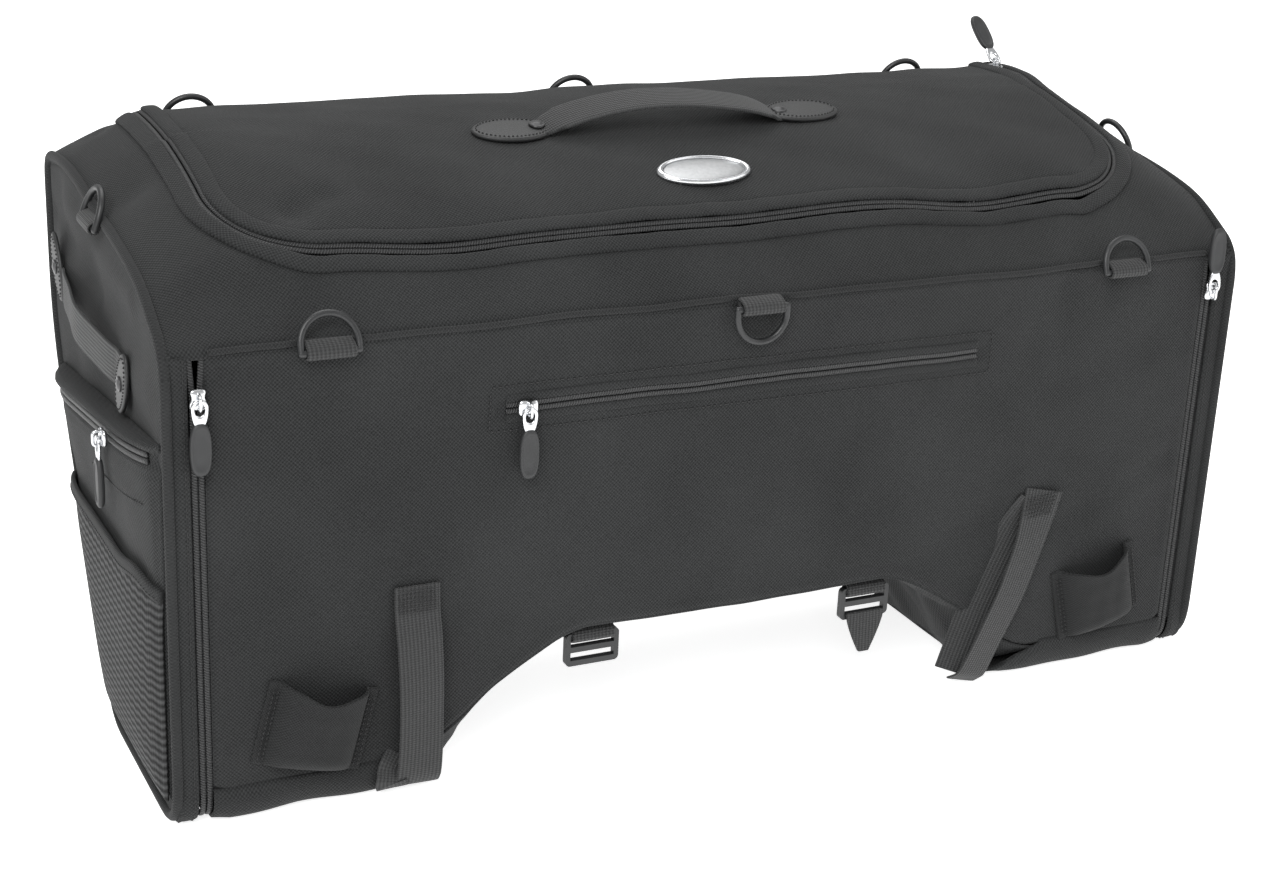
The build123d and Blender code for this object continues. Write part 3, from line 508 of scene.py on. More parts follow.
lid_line = spread(u_loop(LID_X, LID_Y, LID_R, LID_BACK - 2.0), 2.0)
lid_path = np.column_stack([lid_line, top_height(lid_line[:, 0], lid_line[:, 1])])
lid_normal = surface_normal(top_height, lid_line[:, 0], lid_line[:, 1])
zip_half("lid_zip_coil", lid_path, lid_normal, -1.0, "lid", "lid_zip")
zip_half("surround_zip_coil", lid_path, lid_normal, 1.0, "shell", "surround_zip")


def flange(name, way, rise, body):
    """Folded edge of cloth that lies beside the lid's zip and hides its tape."""
    off = way * (FLANGE + 3.0) / 2.0
    line = spread(u_loop(LID_X + off, LID_Y - off, LID_R + off, LID_BACK - 2.0 + 4.0 * (way > 0)), 2.0)
    height = top_height(line[:, 0], line[:, 1]) + rise + 0.3 * rumple(line[:, 0], line[:, 1], 21, 24.0)
    normal = surface_normal(top_height, line[:, 0], line[:, 1])
    outline = oval_outline((FLANGE - 3.0) / 2.0 + 0.9, 1.7, 16, 0.75)
    made = sweep(name, np.column_stack([line, height]), normal, outline, BAG_CLOTH)
    return belongs(made, body, "bag_fabric")


flange("lid_zip_flange", -1.0, 0.1, "lid")
flange("surround_zip_flange", 1.0, -0.5, "shell")

# ---- Piping and rear panel -------------------------------------------------------------------
# The rear panel leans in towards the feet. Cords covered with twill are sewn into the front top
# seam and all round both end faces, where they stiffen the outline.
KNEE_Z = 190.0
FOOT_DEEP = 132.0
rear_z = np.arange(-10.0, 320.0, 1.0)
rear_y = FOOT_DEEP + (DEPTH - FOOT_DEEP) * np.clip(rear_z, -10.0, KNEE_Z) / KNEE_Z
rear_y = smeared(rear_y, 30, 13.0)


def rear_at(z):
    """How far back the rear face reaches at height z: it leans in below the knee."""
    return np.interp(z, rear_z, rear_y)


v = np.linspace(0.0, 1.0, 100)[None, :]
wide = INNER + 18.5 * part((v - 0.855) / 0.02)
x = np.linspace(-1.0, 1.0, 210)[:, None] * wide
low = np.interp(np.abs(x), [0.0, 100.0, 147.0, 171.5], [76.0, 76.0, 50.0, 2.0])
high = top_height(x, DEPTH + 0.0 * x)
z = low + v * (high - low)
rim = np.minimum(np.minimum(z - low, high - z), wide - np.abs(x))
sunk = 1.2 + 1.1 * rumple(x, z, 31, 90.0) + 0.4 * rumple(x, z, 32, 30.0)
sunk = np.clip(sunk, 0.0, 2.0) * part(rim / 10.0) + 1.8 * bell(rim, 2.0)
rear = np.stack([x, rear_at(z) - sunk, z], -1)
rear_cloth = sheet_of("rear_cloth", rear, rear[..., [0, 2]], BAG_CLOTH, PANEL_T, flip=True)
belongs(rear_cloth, "shell", "bag_fabric", "rear_panel")


def rounded(corners, radii, step=2.0):
    """A line through corners, each replaced by a bend that starts its radius away."""
    corners = np.asarray(corners, float)
    parts = [corners[:1]]
    t = np.linspace(0.0, 1.0, 12)[:, None]
    for before, here, after, radius in zip(corners[:-2], corners[1:-1], corners[2:], radii):
        a = here + (before - here) * radius / np.linalg.norm(before - here)
        b = here + (after - here) * radius / np.linalg.norm(after - here)
        parts.append((1 - t) ** 2 * a + 2 * t * (1 - t) * here + t**2 * b)
    parts.append(corners[-1:])
    return spread(np.concatenate(parts), step)


def outward(path):
    """Normal of a line in Y and Z that runs down the front and back up the rear."""
    ahead = np.gradient(path, axis=0)
    ahead /= np.linalg.norm(ahead, axis=1, keepdims=True)
    return np.column_stack([np.zeros(len(path)), ahead[:, 1], -ahead[:, 0]])


def end_ridge(y):
    """Height of the ridge of an end face at y."""
    return top_height(HALF + 0.0 * y, y)


PIPING = weave_finish(
    "twill_piping", (0.005, 0.0052, 0.0053), (0.036, 0.037, 0.0375), 0.0009, 0.0003
)
seam_x = np.linspace(-292.0, 292.0, 240)
seam_wave = 0.8 * rumple(seam_x, 0.0 * seam_x, 33, 60.0)
pressed = sum(bell(seam_x - at, 19.0, 8) for at in (-RING_X, 0.0, RING_X))
seam_path = np.column_stack([seam_x, 0.2 + 0.3 * seam_wave + 1.9 * pressed, SEAM + seam_wave])
front_piping = sweep("front_piping", seam_path, (0.0, -1.0, 0.3), oval_outline(1.6, 1.6, 10), PIPING)
belongs(front_piping, "shell", "bag_fabric", "front_seam_piping")

ridge_y = np.linspace(DEPTH - 3.0, 4.0, 60)
ridge = np.column_stack([ridge_y, end_ridge(ridge_y)])
end_round = np.concatenate([
    rounded([(0.0, 240.0), (0.0, 1.5), (FOOT_DEEP, 1.5), (DEPTH, KNEE_Z), (DEPTH, 284.0)], [24, 16, 40]),
    ridge,
    [(0.0, 240.0)],
])
end_round = spread(end_round, 2.5)
soft = np.ones(7) / 7.0
wrapped = np.concatenate([end_round[-4:-1], end_round, end_round[1:4]])
end_round = np.column_stack([np.convolve(wrapped[:, k], soft, "valid") for k in (0, 1)])


def mirrored(points, side):
    """The same points at the bag's left end, side -1, or right end, side 1."""
    return np.asarray(points) * (side, 1.0, 1.0)


for name, side in SIDES:
    path = mirrored(np.column_stack([np.full(len(end_round), 313.0), end_round]), side)
    outline = oval_outline(2.9, 2.7, 12)
    cord = sweep(f"end_piping_{name}", path, (float(side), 0.0, 0.0), outline, PIPING, cap=False)
    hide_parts(f"end_trim_{name}")
    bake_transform(cord)

# ---- Feet and arch ---------------------------------------------------------------------------
# Two flat feet stand beside the seat, and a loose lining runs over the arch between them. Both
# are the same cloth, slack, because nothing stiffens them.
foot_path = rounded(
    [(2.6, 20.0), (1.7, 15.0), (1.6, 0.5), (FOOT_DEEP, 0.5), (FOOT_DEEP + 2.0, 3.0)],
    [3, 12, 1.5], 2.4,
)
gone = np.linspace(0.0, 1.0, len(foot_path))[:, None]
inner_edge = 172.0 + 34.0 * part(1.0 - (gone * 150.0 - 2.0) / 24.0) ** 1.5
for name, side in SIDES:
    t = np.linspace(0.0, 1.0, 56)[None, :]
    x = inner_edge + (INNER - inner_edge) * t
    rows = np.broadcast_to(foot_path[:, None], x.shape + (2,))
    swell = (0.5 + 0.5 * rumple(x + 40.0 * side, gone * 150.0 + 0 * x, 41, 48.0)) * 1.5
    swell = swell * part(np.minimum(t, 1.0 - t) * 14.0) * part(gone * 30.0)
    y = rows[..., 0] - swell * (rows[..., 1] > 1.5) * 0.8
    z = np.maximum(rows[..., 1] + 2.6 * part(gone * 12.0) - swell, 0.3)
    z = np.where(gone < 0.02, rows[..., 1], z)
    foot = mirrored(np.stack([x, y, np.maximum(z, 0.3)], -1), side)
    uv = np.stack([x, gone * 150.0 + 0 * x], -1)
    made = sheet_of(f"foot_cloth_{name}", foot, uv, BAG_CLOTH, PANEL_T, flip=side > 0)
    belongs(made, "shell", "bag_fabric", "foot_panels")

s = np.linspace(-1.0, 1.0, 190)
front_x = np.interp(s, [-1, -0.5, 0.5, 1], [-206, -100, 100, 206])
front_z = np.where(np.abs(front_x) > 205.0, 17.0, arch_edge(front_x))
back_x = np.interp(s, [-1, -0.72, -0.5, 0.5, 0.72, 1], [-171.5, -147, -100, 100, 147, 171.5])
back_z = np.interp(s, [-1, -0.72, -0.5, 0.5, 0.72, 1], [0.5, 50, 76, 76, 50, 0.5])
back_z = np.convolve(np.pad(back_z, 4, "edge"), np.ones(9) / 9.0, "valid")
deep = np.linspace(0.0, 1.0, 60)[None, :]
stop = rear_at(back_z) - 1.0
y = 1.2 + deep * (stop[:, None] - 1.2)
turned = part(y / 22.0) ** 0.8
x = front_x[:, None] * (1.0 - turned) + back_x[:, None] * turned
z = front_z[:, None] * (1.0 - turned) + back_z[:, None] * turned
slack = (1.6 + 1.8 * rumple(x, y, 43, 34.0)) * part(np.minimum(y, stop[:, None] - y) / 9.0)
leg = part((np.abs(x) - 96.0) / 30.0) * np.clip(1.0 - np.abs(s)[:, None], 0.0, 0.1) * 10.0
by_buckle = bell(np.abs(x) - BUCKLE_X, 24.0, 4) * bell(y - 9.0, 30.0, 4)
on_leg = 3.0 * leg * (1.0 - by_buckle) * part(y / 14.0) * bell(y - 24.0, 26.0)
slack = np.clip(slack, 0.0, 4.5) * (1.0 - 0.95 * by_buckle) + on_leg
arch = np.stack([x - np.sign(x) * slack * leg * 0.9, y, z - slack * (0.9 - 0.4 * leg)], -1)
arch[..., 2] = np.maximum(arch[..., 2], 0.4)
arch_cloth = sheet_of("arch_cloth", arch, np.stack([x * 1.2, y], -1), BAG_CLOTH, 1.6, flip=True)
belongs(arch_cloth, "shell", "bag_fabric", "arch_panel")

# ---- Ends ------------------------------------------------------------------------------------
# Each end is one padded cloth from the ground to the ridge. Below the front seam it swings out
# when the zip round it is opened. The zip's outer half is sewn to its rim.
ZIP_X = 298.0
zip_line = rounded(
    [(1.0, 249.5), (1.0, 1.2), (FOOT_DEEP, 1.2), (DEPTH - 1.0, KNEE_Z), (DEPTH - 1.0, 263.0)],
    [16, 14, 40],
)
zip_normal = outward(zip_line)
open_top = np.where(zip_line[:, 0] < 20.0, part((zip_line[:, 1] - 229.0) / 21.0), 0.0)


def end_bulge(y, z):
    """How far an end face stands out: padding above the side pocket, slack near the ridge."""
    d = 2.6 * crease(y, z, 30, 226, 210, 236, 16.0) + 0.8 * rumple(y, z, 51, 50.0)
    d += 2.0 * crease(y, z, 60, 262, 200, 276, 9.0) - 1.4 * crease(y, z, 120, 246, 235, 262, 8.0)
    return d


THREAD = Finish("sewing_thread")
tone = THREAD.blend(THREAD.cloud(300.0), (0.004, 0.004, 0.004), (0.02, 0.0205, 0.021))
THREAD.surface(tone, 0.6)


def stitches(name, path, normal, body, pitch=3.0, wide=STITCH_WIDE, gap=1.0):
    """A row of stitches: one small six-sided stick for each stitch, along a path."""
    path = np.asarray(path, float)
    gone = run_length(path)
    starts = np.arange(pitch * 0.3, gone[-1] - pitch, pitch)
    ends = starts + pitch - gap
    normal = np.broadcast_to(np.asarray(normal, float), path.shape)
    up = read_off(starts, gone, normal)
    a, b = read_off(starts, gone, path), read_off(ends, gone, path)
    ahead = (b - a) / np.linalg.norm(b - a, axis=1, keepdims=True)
    side = np.cross(ahead, up)
    shape = [(0.0, 0.0, -0.3), (0.25, 1.0, 0.5), (0.75, 1.0, 0.5), (1.0, 0.0, -0.3)]
    turn = round_turn(6)
    rings = []
    for t, grow, lift in shape:
        centre = a + (b - a) * t + up * lift * wide
        spoke = np.cos(turn)[None, :, None] * side[:, None] + np.sin(turn)[None, :, None] * up[:, None]
        rings.append(centre[:, None] + spoke * wide * max(grow, 0.15))
    points = np.stack(rings, 1)
    count = len(starts)
    one = grid_faces(4, 6, ring=True)
    faces = (one[None] + np.arange(count)[:, None, None] * 24).reshape(-1, 4)
    made = put(name, points, np.zeros((count * 24, 2)), faces, THREAD.material)
    belongs(tidy(made), body, "bag_fabric")
    return made


for name, side in SIDES:
    end = f"end_{name}"
    u = np.linspace(0.0, 1.0, 100)[:, None]
    v = np.linspace(0.0, 1.0, 110)[None, :]
    z = 3.0 + v * (end_ridge(u * DEPTH) - 4.0)
    corner = 14.0 - np.sqrt(np.clip(196.0 - np.clip(14.0 - z, 0.0, 14.0) ** 2, 0.0, None))
    y = corner + u * (rear_at(z) - 1.4 * corner)
    rim = np.minimum(np.minimum(y - corner, rear_at(z) - y), np.minimum(z, end_ridge(u * DEPTH) - z))
    bulge = end_bulge(y, z) * part(rim / 12.0) - 1.2 * bell(rim, 3.0)
    face = mirrored(np.stack([HALF - 0.8 + bulge, y, z], -1), side)
    made = sheet_of(f"end_cloth_{name}", face, np.stack([y, z], -1), BAG_CLOTH, PANEL_T, flip=side < 0)
    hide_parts(f"end_panel_{name}")
    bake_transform(made)
    strip_path = mirrored(np.column_stack([np.full(len(zip_line), 306.8), zip_line]), side)
    strip = sweep(f"end_rim_{name}", strip_path, zip_normal, oval_outline(4.6, 1.2, 14, 0.7), BAG_CLOTH)
    belongs(strip, end, "bag_fabric")
    seam = mirrored(np.column_stack([np.full(len(zip_line), 304.6), zip_line]), side) + zip_normal * 1.1
    stitches(f"end_rim_stitches_{name}", seam, zip_normal, end, 3.2, 0.4)
    chain = mirrored(np.column_stack([np.full(len(zip_line), ZIP_X), zip_line]), side)
    apart = open_top * 1.5
    inner, outer = f"corner_coil_in_{name}", f"corner_coil_out_{name}"
    zip_half(inner, chain, zip_normal, float(side), "shell", "corner_zips", opening=apart)
    zip_half(outer, chain, zip_normal, -float(side), end, None, opening=apart)

# ---- Pockets on the ends ---------------------------------------------------------------------
# A zipped pocket covers most of each end face. A ribbed mesh pocket with a bound, sloping hem
# is sewn over its lower part and is open at the top.
POCKET_Y = 12.0
POCKET_LOW = 14.0
POCKET_OUT = 10.6


def side_zip_z(y):
    """Height of the side pocket's zip at y: it falls evenly towards the rear."""
    t = (y - POCKET_Y) / 221.0
    return 196.0 - 30.0 * t


def mesh_hem_z(y):
    """Height of the mesh pocket's hem at y: nearly level, a little slack behind its front end."""
    t = np.clip((y - POCKET_Y) / 200.0, 0.0, 1.1)
    return 127.0 + 5.0 * bell(t - 0.12, 0.1) + 3.0 * np.sin(np.pi * t) - 4.0 * t


def edge_shape(away, wide):
    """Quarter-round rise from 0 at an edge to 1 a given width inside it."""
    t = part(away / wide)
    return np.sqrt(1.0 - (1.0 - t) ** 2)


def pocket_out(y, z):
    """How far the side pocket stands out: a pillow, flat where it is sewn to the end."""
    rim = np.minimum(y - POCKET_Y, rear_at(z) - 12.0 - y)
    full = edge_shape(z - POCKET_LOW, 40.0) * (0.45 + 0.55 * part((z - 132.0) / 40.0))
    return 1.2 + (POCKET_OUT - 1.2) * edge_shape(rim, 56.0) * full


def mesh_finish():
    """Ribbed mesh: wavy cords with dark gaps between them."""
    finish = Finish("ribbed_mesh")
    u, v = finish.cloth_uv()
    bend = (u * (2.0 * np.pi / 0.009)).sine() * 0.00045
    rib = ((v + bend) * (2.0 * np.pi / 0.0043)).sine() * 0.5 + 0.5
    thread = (u * (2.0 * np.pi / 0.0022)).sine() * 0.5 + 0.5
    colour = finish.blend(rib * 0.8 + thread * rib * 0.3, (0.002, 0.002, 0.002), (0.045, 0.046, 0.047))
    return finish.surface(colour, 0.9 - rib * 0.15, rib * 0.85 + thread * 0.15, 0.0011, 1.0)


RIBBED_MESH = mesh_finish()
for name, side in SIDES:
    end = f"end_{name}"
    u = np.linspace(0.0, 1.0, 96)[:, None]
    v = np.linspace(0.0, 1.0, 96)[None, :]
    high = side_zip_z(POCKET_Y + u * 200.0) + 9.0
    z = POCKET_LOW + v * (high - POCKET_LOW)
    y = POCKET_Y - 4.0 + u * (rear_at(z) - 20.0)
    beside = np.minimum(y - POCKET_Y + 4.0, rear_at(z) - 12.0 - y)
    rim = np.minimum(beside, np.minimum(z - POCKET_LOW, high - z))
    out = pocket_out(y, z) + 0.5 * rumple(y, z, 61, 40.0) * part(rim / 14.0)
    out = out * edge_shape(rim, 5.0)
    off = z - side_zip_z(y)
    out = out - 3.0 * bell(off, 4.2, 6) + 1.0 * bell(off - 6.0, 2.6) - 0.9 * bell(off + 6.8, 2.0)
    face = mirrored(np.stack([HALF + 0.1 + out, y, z], -1), side)
    made = sheet_of(f"side_pocket_cloth_{name}", face, np.stack([y, z], -1), BAG_CLOTH, 1.6, flip=side < 0)
    belongs(made, end, "bag_fabric", f"side_pocket_{name}")
    zy = np.linspace(18.0, 214.0, 120)
    zz = side_zip_z(zy)
    chain = mirrored(np.column_stack([HALF + pocket_out(zy, zz) - 0.4, zy, zz]), side)
    out_of_it = (float(side), 0.0, 0.0)
    zip_half(f"side_coil_up_{name}", chain, out_of_it, float(side), end, None)
    zip_half(f"side_coil_low_{name}", chain, out_of_it, -float(side), end, None)
    row_y = np.linspace(20.0, 120.0, 60)
    row_z = side_zip_z(row_y) - 24.0
    row = mirrored(np.column_stack([HALF + pocket_out(row_y, row_z) + 0.2, row_y, row_z]), side)
    stitches(f"side_pocket_stitches_{name}", row, out_of_it, end)

    high = mesh_hem_z(POCKET_Y + u * 190.0)
    z = POCKET_LOW + 1.0 + v * (high - POCKET_LOW - 1.0)
    y = POCKET_Y - 4.5 + u * (rear_at(z) - 20.0)
    rim = np.minimum(np.minimum(y - POCKET_Y + 4.5, rear_at(z) - 12.0 - y), z - POCKET_LOW)
    out = 1.4 + 3.6 * edge_shape(rim, 50.0) - 1.0 * bell(high - z, 14.0)
    face = mirrored(np.stack([HALF + pocket_out(y, z) + out, y, z], -1), side)
    uv = np.stack([y, z], -1)
    made = sheet_of(f"mesh_pocket_cloth_{name}", face, uv, RIBBED_MESH, 1.2, flip=side < 0)
    belongs(made, end, "mesh", f"mesh_pocket_{name}")
    hem = spread(face[:, -1], 2.5)
    hem_normal = np.array((float(side), 0.0, 0.0))
    outline = oval_outline(4.2, 1.5, 14, 0.75)
    binding = sweep(f"mesh_hem_{name}", hem + (0.0, 0.0, -2.5), hem_normal, outline, PIPING)
    belongs(binding, end, "bag_fabric")
    stitches(f"mesh_hem_stitches_{name}", hem + (side * 1.4, 0.0, -4.0), hem_normal, end)

# ---- Handles ---------------------------------------------------------------------------------
# Grab handles of ribbed webbing: one arches over the lid, one lies on each end. Their ends are
# riveted through oval patches of pebbled vinyl that have a sewn edge.


def webbing_finish():
    """Ribbed webbing: ridges along its length with a fine cross weave."""
    finish = Finish("ribbed_webbing")
    u, v = finish.cloth_uv()
    rib = (v * (2.0 * np.pi / 0.0021)).sine() * 0.5 + 0.5
    pick = (u * (2.0 * np.pi / 0.0013)).sine() * 0.5 + 0.5
    share = rib * 0.45 + pick * 0.35 + finish.cloud(700.0) * 0.3
    colour = finish.blend(share, (0.004, 0.0042, 0.0043), (0.037, 0.038, 0.0385))
    return finish.surface(colour, 0.86 - rib * 0.14, rib * 0.6 + pick * 0.4, 0.0005, 1.0, Sheen_Weight=0.1)


def vinyl_finish():
    """Pebbled vinyl: a satin skin with fine grain."""
    finish = Finish("pebbled_vinyl")
    place = finish.node("TexCoord", None, None, 3)
    grain = finish.node("TexVoronoi", {"feature": "SMOOTH_F1"}, {"Vector": place, "Scale": 1400.0})
    share = grain * 0.6 + finish.cloud(40.0) * 0.4
    colour = finish.blend(share, (0.012, 0.0123, 0.0125), (0.03, 0.0308, 0.031))
    return finish.surface(colour, 0.42 + grain * 0.12, grain, 0.0002, 0.6)


WEBBING = webbing_finish()
VINYL = vinyl_finish()


def place_at(points, origin, x_way, y_way, z_way):
    """Points of a piece drawn about its own middle, moved to origin along three directions."""
    points = np.asarray(points, float)
    ways = np.array([x_way, y_way, z_way], float)
    return points @ ways + np.asarray(origin, float)


def patch(name, frame_of, long, wide, thick, body):
    """Oval patch: a flat dome with a round edge, drawn round its middle, and its stitches."""
    r = np.array([0.0, 0.3, 0.6, 0.8, 0.9, 0.96, 1.0, 1.0])[:, None]
    h = np.array([1.25, 1.22, 1.15, 1.08, 1.0, 0.8, 0.45, -0.6])[:, None] * thick
    turn = round_turn(72)[None, :]
    flat = np.stack([r * long / 2 * np.cos(turn), r * wide / 2 * np.sin(turn), h + 0.0 * turn], -1)
    points = place_at(flat, *frame_of)
    faces = [list(f) for f in grid_faces(len(r), 72, ring=True)] + [list(range(7 * 72, 8 * 72))]
    made = tidy(put(name, points, flat[..., :2], faces, VINYL))
    belongs(made, body, "vinyl")
    turn = np.linspace(0.0, 2.0 * np.pi, 90)
    half_long, half_wide = long / 2 - 2.2, wide / 2 - 2.2
    ring = np.stack([half_long * np.cos(turn), half_wide * np.sin(turn), 0 * turn + thick * 1.12], -1)
    stitches(name + "_stitches", place_at(ring, *frame_of), frame_of[3], body, 2.4, 0.34)
    return made


def webbing_outline(wide, thick):
    """Cross section of webbing: flat, with round edges."""
    return oval_outline(wide / 2.0, thick / 2.0, 24, 0.35)


def rivet_dome(name, frame_of, radius, high, material, body):
    """Rivet head: a low dome with a rolled rim, turned from its profile."""
    r = np.array([0.0, 0.35, 0.62, 0.8, 0.86, 0.95, 1.0, 0.98])[:, None] * radius
    h = np.array([0.92, 0.86, 0.7, 0.5, 0.55, 0.5, 0.25, 0.0])[:, None] * high
    turn = round_turn(36)[None, :]
    flat = np.stack([r * np.cos(turn), r * np.sin(turn), h + 0.0 * turn], -1)
    faces = [list(f) for f in grid_faces(len(r), 36, ring=True)] + [list(range(7 * 36, 8 * 36))]
    made = tidy(put(name, place_at(flat, *frame_of), flat[..., :2], faces, material))
    return belongs(made, body, "chrome_metal")


DARK_METAL = Finish("black_rivet")
rub = DARK_METAL.cloud(220.0)
DARK_METAL.surface(
    DARK_METAL.blend(rub, (0.03, 0.03, 0.031), (0.09, 0.09, 0.092)), 0.25 + rub * 0.2, Metallic=0.7
)
HANDLE_Y = 124.0
HANDLE_X = 75.0
slope = np.arctan2(CROWN_Y - HANDLE_Y, 371.0)
lid_up = np.array([0.0, -np.sin(slope), np.cos(slope)])
lid_back = np.array([0.0, np.cos(slope), np.sin(slope)])
t = np.linspace(-1.0, 1.0, 90)
run = t * (HANDLE_X + 6.0)
lift = 14.0 * np.clip(1.0 - (run / (HANDLE_X - 4.0)) ** 2, 0.0, None) ** 0.8
base = lid_height(run, HANDLE_Y + 0.0 * run)
middle = np.column_stack([run, np.full(90, HANDLE_Y), base + 1.6]) + lift[:, None] * lid_up
arc_normal = np.cross(np.gradient(middle, axis=0), lid_back * -1.0)
arc_normal /= np.linalg.norm(arc_normal, axis=1, keepdims=True)
narrow = 1.0 - 0.32 * part((np.abs(run) - HANDLE_X + 14.0) / 14.0)
shape = webbing_outline(WEB_WIDE, 2.6)[None] * np.stack([narrow, 1.0 + 0.0 * narrow], -1)[:, None]
carry = sweep("carry_handle", middle, arc_normal, shape, WEBBING)
belongs(carry, "lid", "webbing", "carry_strap")
for name, side in SIDES:
    px = side * (HANDLE_X + 14.5)
    origin = (px, HANDLE_Y, lid_height(np.array(px), np.array(HANDLE_Y)) + 1.6)
    made = patch(f"handle_patch_{name}", (origin, (1, 0, 0), lid_back, lid_up), 46.0, 27.0, 1.5, "lid")
    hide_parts("handle_patches")
    origin = (side * HANDLE_X, HANDLE_Y, lid_height(np.array(side * HANDLE_X), np.array(HANDLE_Y)) + 3.2)
    seat = (origin, (1, 0, 0), lid_back, lid_up)
    made = rivet_dome(f"handle_rivet_{name}", seat, 4.6, 2.6, DARK_METAL.material, "lid")
    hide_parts("handle_rivets")

for name, side in SIDES:
    end = f"end_{name}"
    out = np.array([float(side), 0.0, 0.0])
    t = np.linspace(0.0, 1.0, 70)
    y = 66.0 + t * 138.0
    z = 222.0 + (y - 72.0) * 0.07 + 1.5 * np.sin(np.pi * t)
    x = HALF + end_bulge(y, z) + 1.2 + 6.5 * np.sin(np.pi * part((t - 0.08) / 0.84)) ** 0.8
    line = mirrored(np.column_stack([x, y, z]), side)
    grip = sweep(f"side_handle_webbing_{name}", line, out, webbing_outline(20.0, 1.7), WEBBING)
    belongs(grip, end, "webbing", f"side_handle_{name}")
    for where, py, pz, lean in (("front", 66.0, 217.0, -62.0), ("rear", 204.0, 239.0, 62.0)):
        lean = np.radians(lean)
        along = np.array([0.0, np.cos(lean), np.sin(lean)])
        across = np.cross(out, along)
        origin = (side * (HALF + end_bulge(np.array(py), np.array(pz)) + 1.8), py, pz)
        patch(f"side_patch_{where}_{name}", (origin, along, across, out), 38.0, 18.5, 1.3, end)
        seat = (np.array(origin) + out * 1.4, along, across, out)
        rivet_dome(f"side_rivet_{where}_{name}", seat, 4.0, 2.0, DARK_METAL.material, end)

# ---- Front zip -------------------------------------------------------------------------------
# A straight zip let into the front panel between two turned edges, with a sewn rectangle round
# it where the pocket behind is stitched on.
PULL_Z = 206.0
zx = np.linspace(-141.0, 141.0, 150)
sway = 0.5 * rumple(zx, 0.0 * zx, 71, 60.0)
recess = front_depth(zx, PULL_Z + 0.0 * zx) + 1.2
middle = np.column_stack([zx, recess - 1.7, PULL_Z + sway])
zip_half("front_coil_up", middle, (0.0, -1.0, 0.0), 1.0, "shell", "front_zip")
zip_half("front_coil_low", middle, (0.0, -1.0, 0.0), -1.0, "shell", "front_zip")
for name, way in (("up", 1.0), ("low", -1.0)):
    line = np.column_stack([zx, recess - 1.0, PULL_Z + sway + way * 5.4])
    lip = sweep(f"front_zip_lip_{name}", line, (0.0, -1.0, 0.0), oval_outline(2.3, 1.0, 14, 0.8), BAG_CLOTH)
    belongs(lip, "shell", "bag_fabric")
box_line = rounded([(-150, 218), (150, 218), (150, 194), (-150, 194), (-150, 217)], [2, 2, 2], 2.0)
box_x, box_z = box_line.T
box_line = np.column_stack([box_x, front_depth(box_x, box_z) - 0.1, box_z])
stitches("front_zip_stitches", box_line, (0.0, -1.0, 0.0), "shell", 3.4, 0.5, 1.5)

# ---- D-rings and their tabs ------------------------------------------------------------------
# Moulded plastic D-rings. Each bar lies in a short loop of ribbed webbing that is sewn into the
# seam behind it.
RING_BAR = 2.9


def plastic_finish(name, low, high, rough):
    """Moulded plastic with a fine cast grain and rubbed patches."""
    finish = Finish(name)
    rub = finish.cloud(90.0, 3.0)
    grain = finish.cloud(1800.0)
    return finish.surface(finish.blend(rub, low, high), rough + rub * 0.15, grain, 0.0001, 0.6)


RING_PLASTIC = plastic_finish("ring_plastic", (0.010, 0.0105, 0.011), (0.028, 0.029, 0.03), 0.3)
tab_turn = np.radians(np.linspace(118.0, 350.0, 34))
tab_line = np.concatenate([
    [(5.6, 4.6), (3.6, 4.4), (1.2, 3.7)],
    np.stack([-RING_BAR * np.cos(np.pi - tab_turn), RING_BAR * np.sin(tab_turn)], -1),
    [(4.0, 1.2), (5.6, 3.0)],
])
rings = (
    ("front_left", (-RING_X, 0.0, 251.0), 0.0), ("front_middle", (0.0, 0.0, 251.0), 0.0),
    ("front_right", (RING_X, 0.0, 251.0), 0.0), ("rear_left", (-RING_X, 245.0, 306.0), 180.0),
    ("rear_middle", (0.0, 245.0, 306.0), 180.0), ("rear_right", (RING_X, 245.0, 306.0), 180.0),
    ("end_left", (-314.0, 125.0, 287.127), -90.0), ("end_right", (314.0, 125.0, 287.127), 90.0),
)
for name, seam, turn in rings:
    turn = np.radians(turn)
    x_way = np.array([np.cos(turn), np.sin(turn), 0.0])
    y_way = np.array([-np.sin(turn), np.cos(turn), 0.0])
    origin = np.array(seam) - y_way * 4.4 - (0.0, 0.0, 4.0)
    line = spread(tab_line, 0.8)
    flat = np.column_stack([0.0 * line[:, 0], line])
    path = place_at(flat, origin, x_way, y_way, (0.0, 0.0, 1.0))
    steps = np.gradient(path, axis=0)
    out = np.cross(steps, x_way)
    out /= np.linalg.norm(out, axis=1, keepdims=True)
    tab = sweep(f"ring_tab_{name}", path, out, webbing_outline(WEB_WIDE, TAB_T), WEBBING)
    belongs(tab, "shell", "webbing", "ring_tabs")
    coat("dring_" + name, RING_PLASTIC)

# ---- Tie-down straps -------------------------------------------------------------------------
# Loops of the same webbing, sewn flat at the top with several bar tacks and folded under the
# foot. The right one hangs slanted and half twisted, so its back layer shows beside the front.


def ribbon(name, line, wide, aim, body="shell"):
    """Webbing along a line; aim gives the direction its face looks at each end."""
    line = np.asarray(line, float)
    gone = np.linspace(0.0, 1.0, len(line))
    fine = np.linspace(0.0, 1.0, 120)
    path = read_off(fine, gone, line)
    for _ in range(3):
        path[1:-1] = (path[:-2] + path[1:-1] * 2 + path[2:]) / 4
        path[3:-3] = (path[:-6] + path[3:-3] * 2 + path[6:]) / 4
    aim = np.asarray(aim, float)
    face = read_off(fine, np.linspace(0, 1, len(aim)), aim)
    made = sweep(name, path, face, webbing_outline(wide, 1.5), WEBBING)
    return belongs(made, body, "webbing")


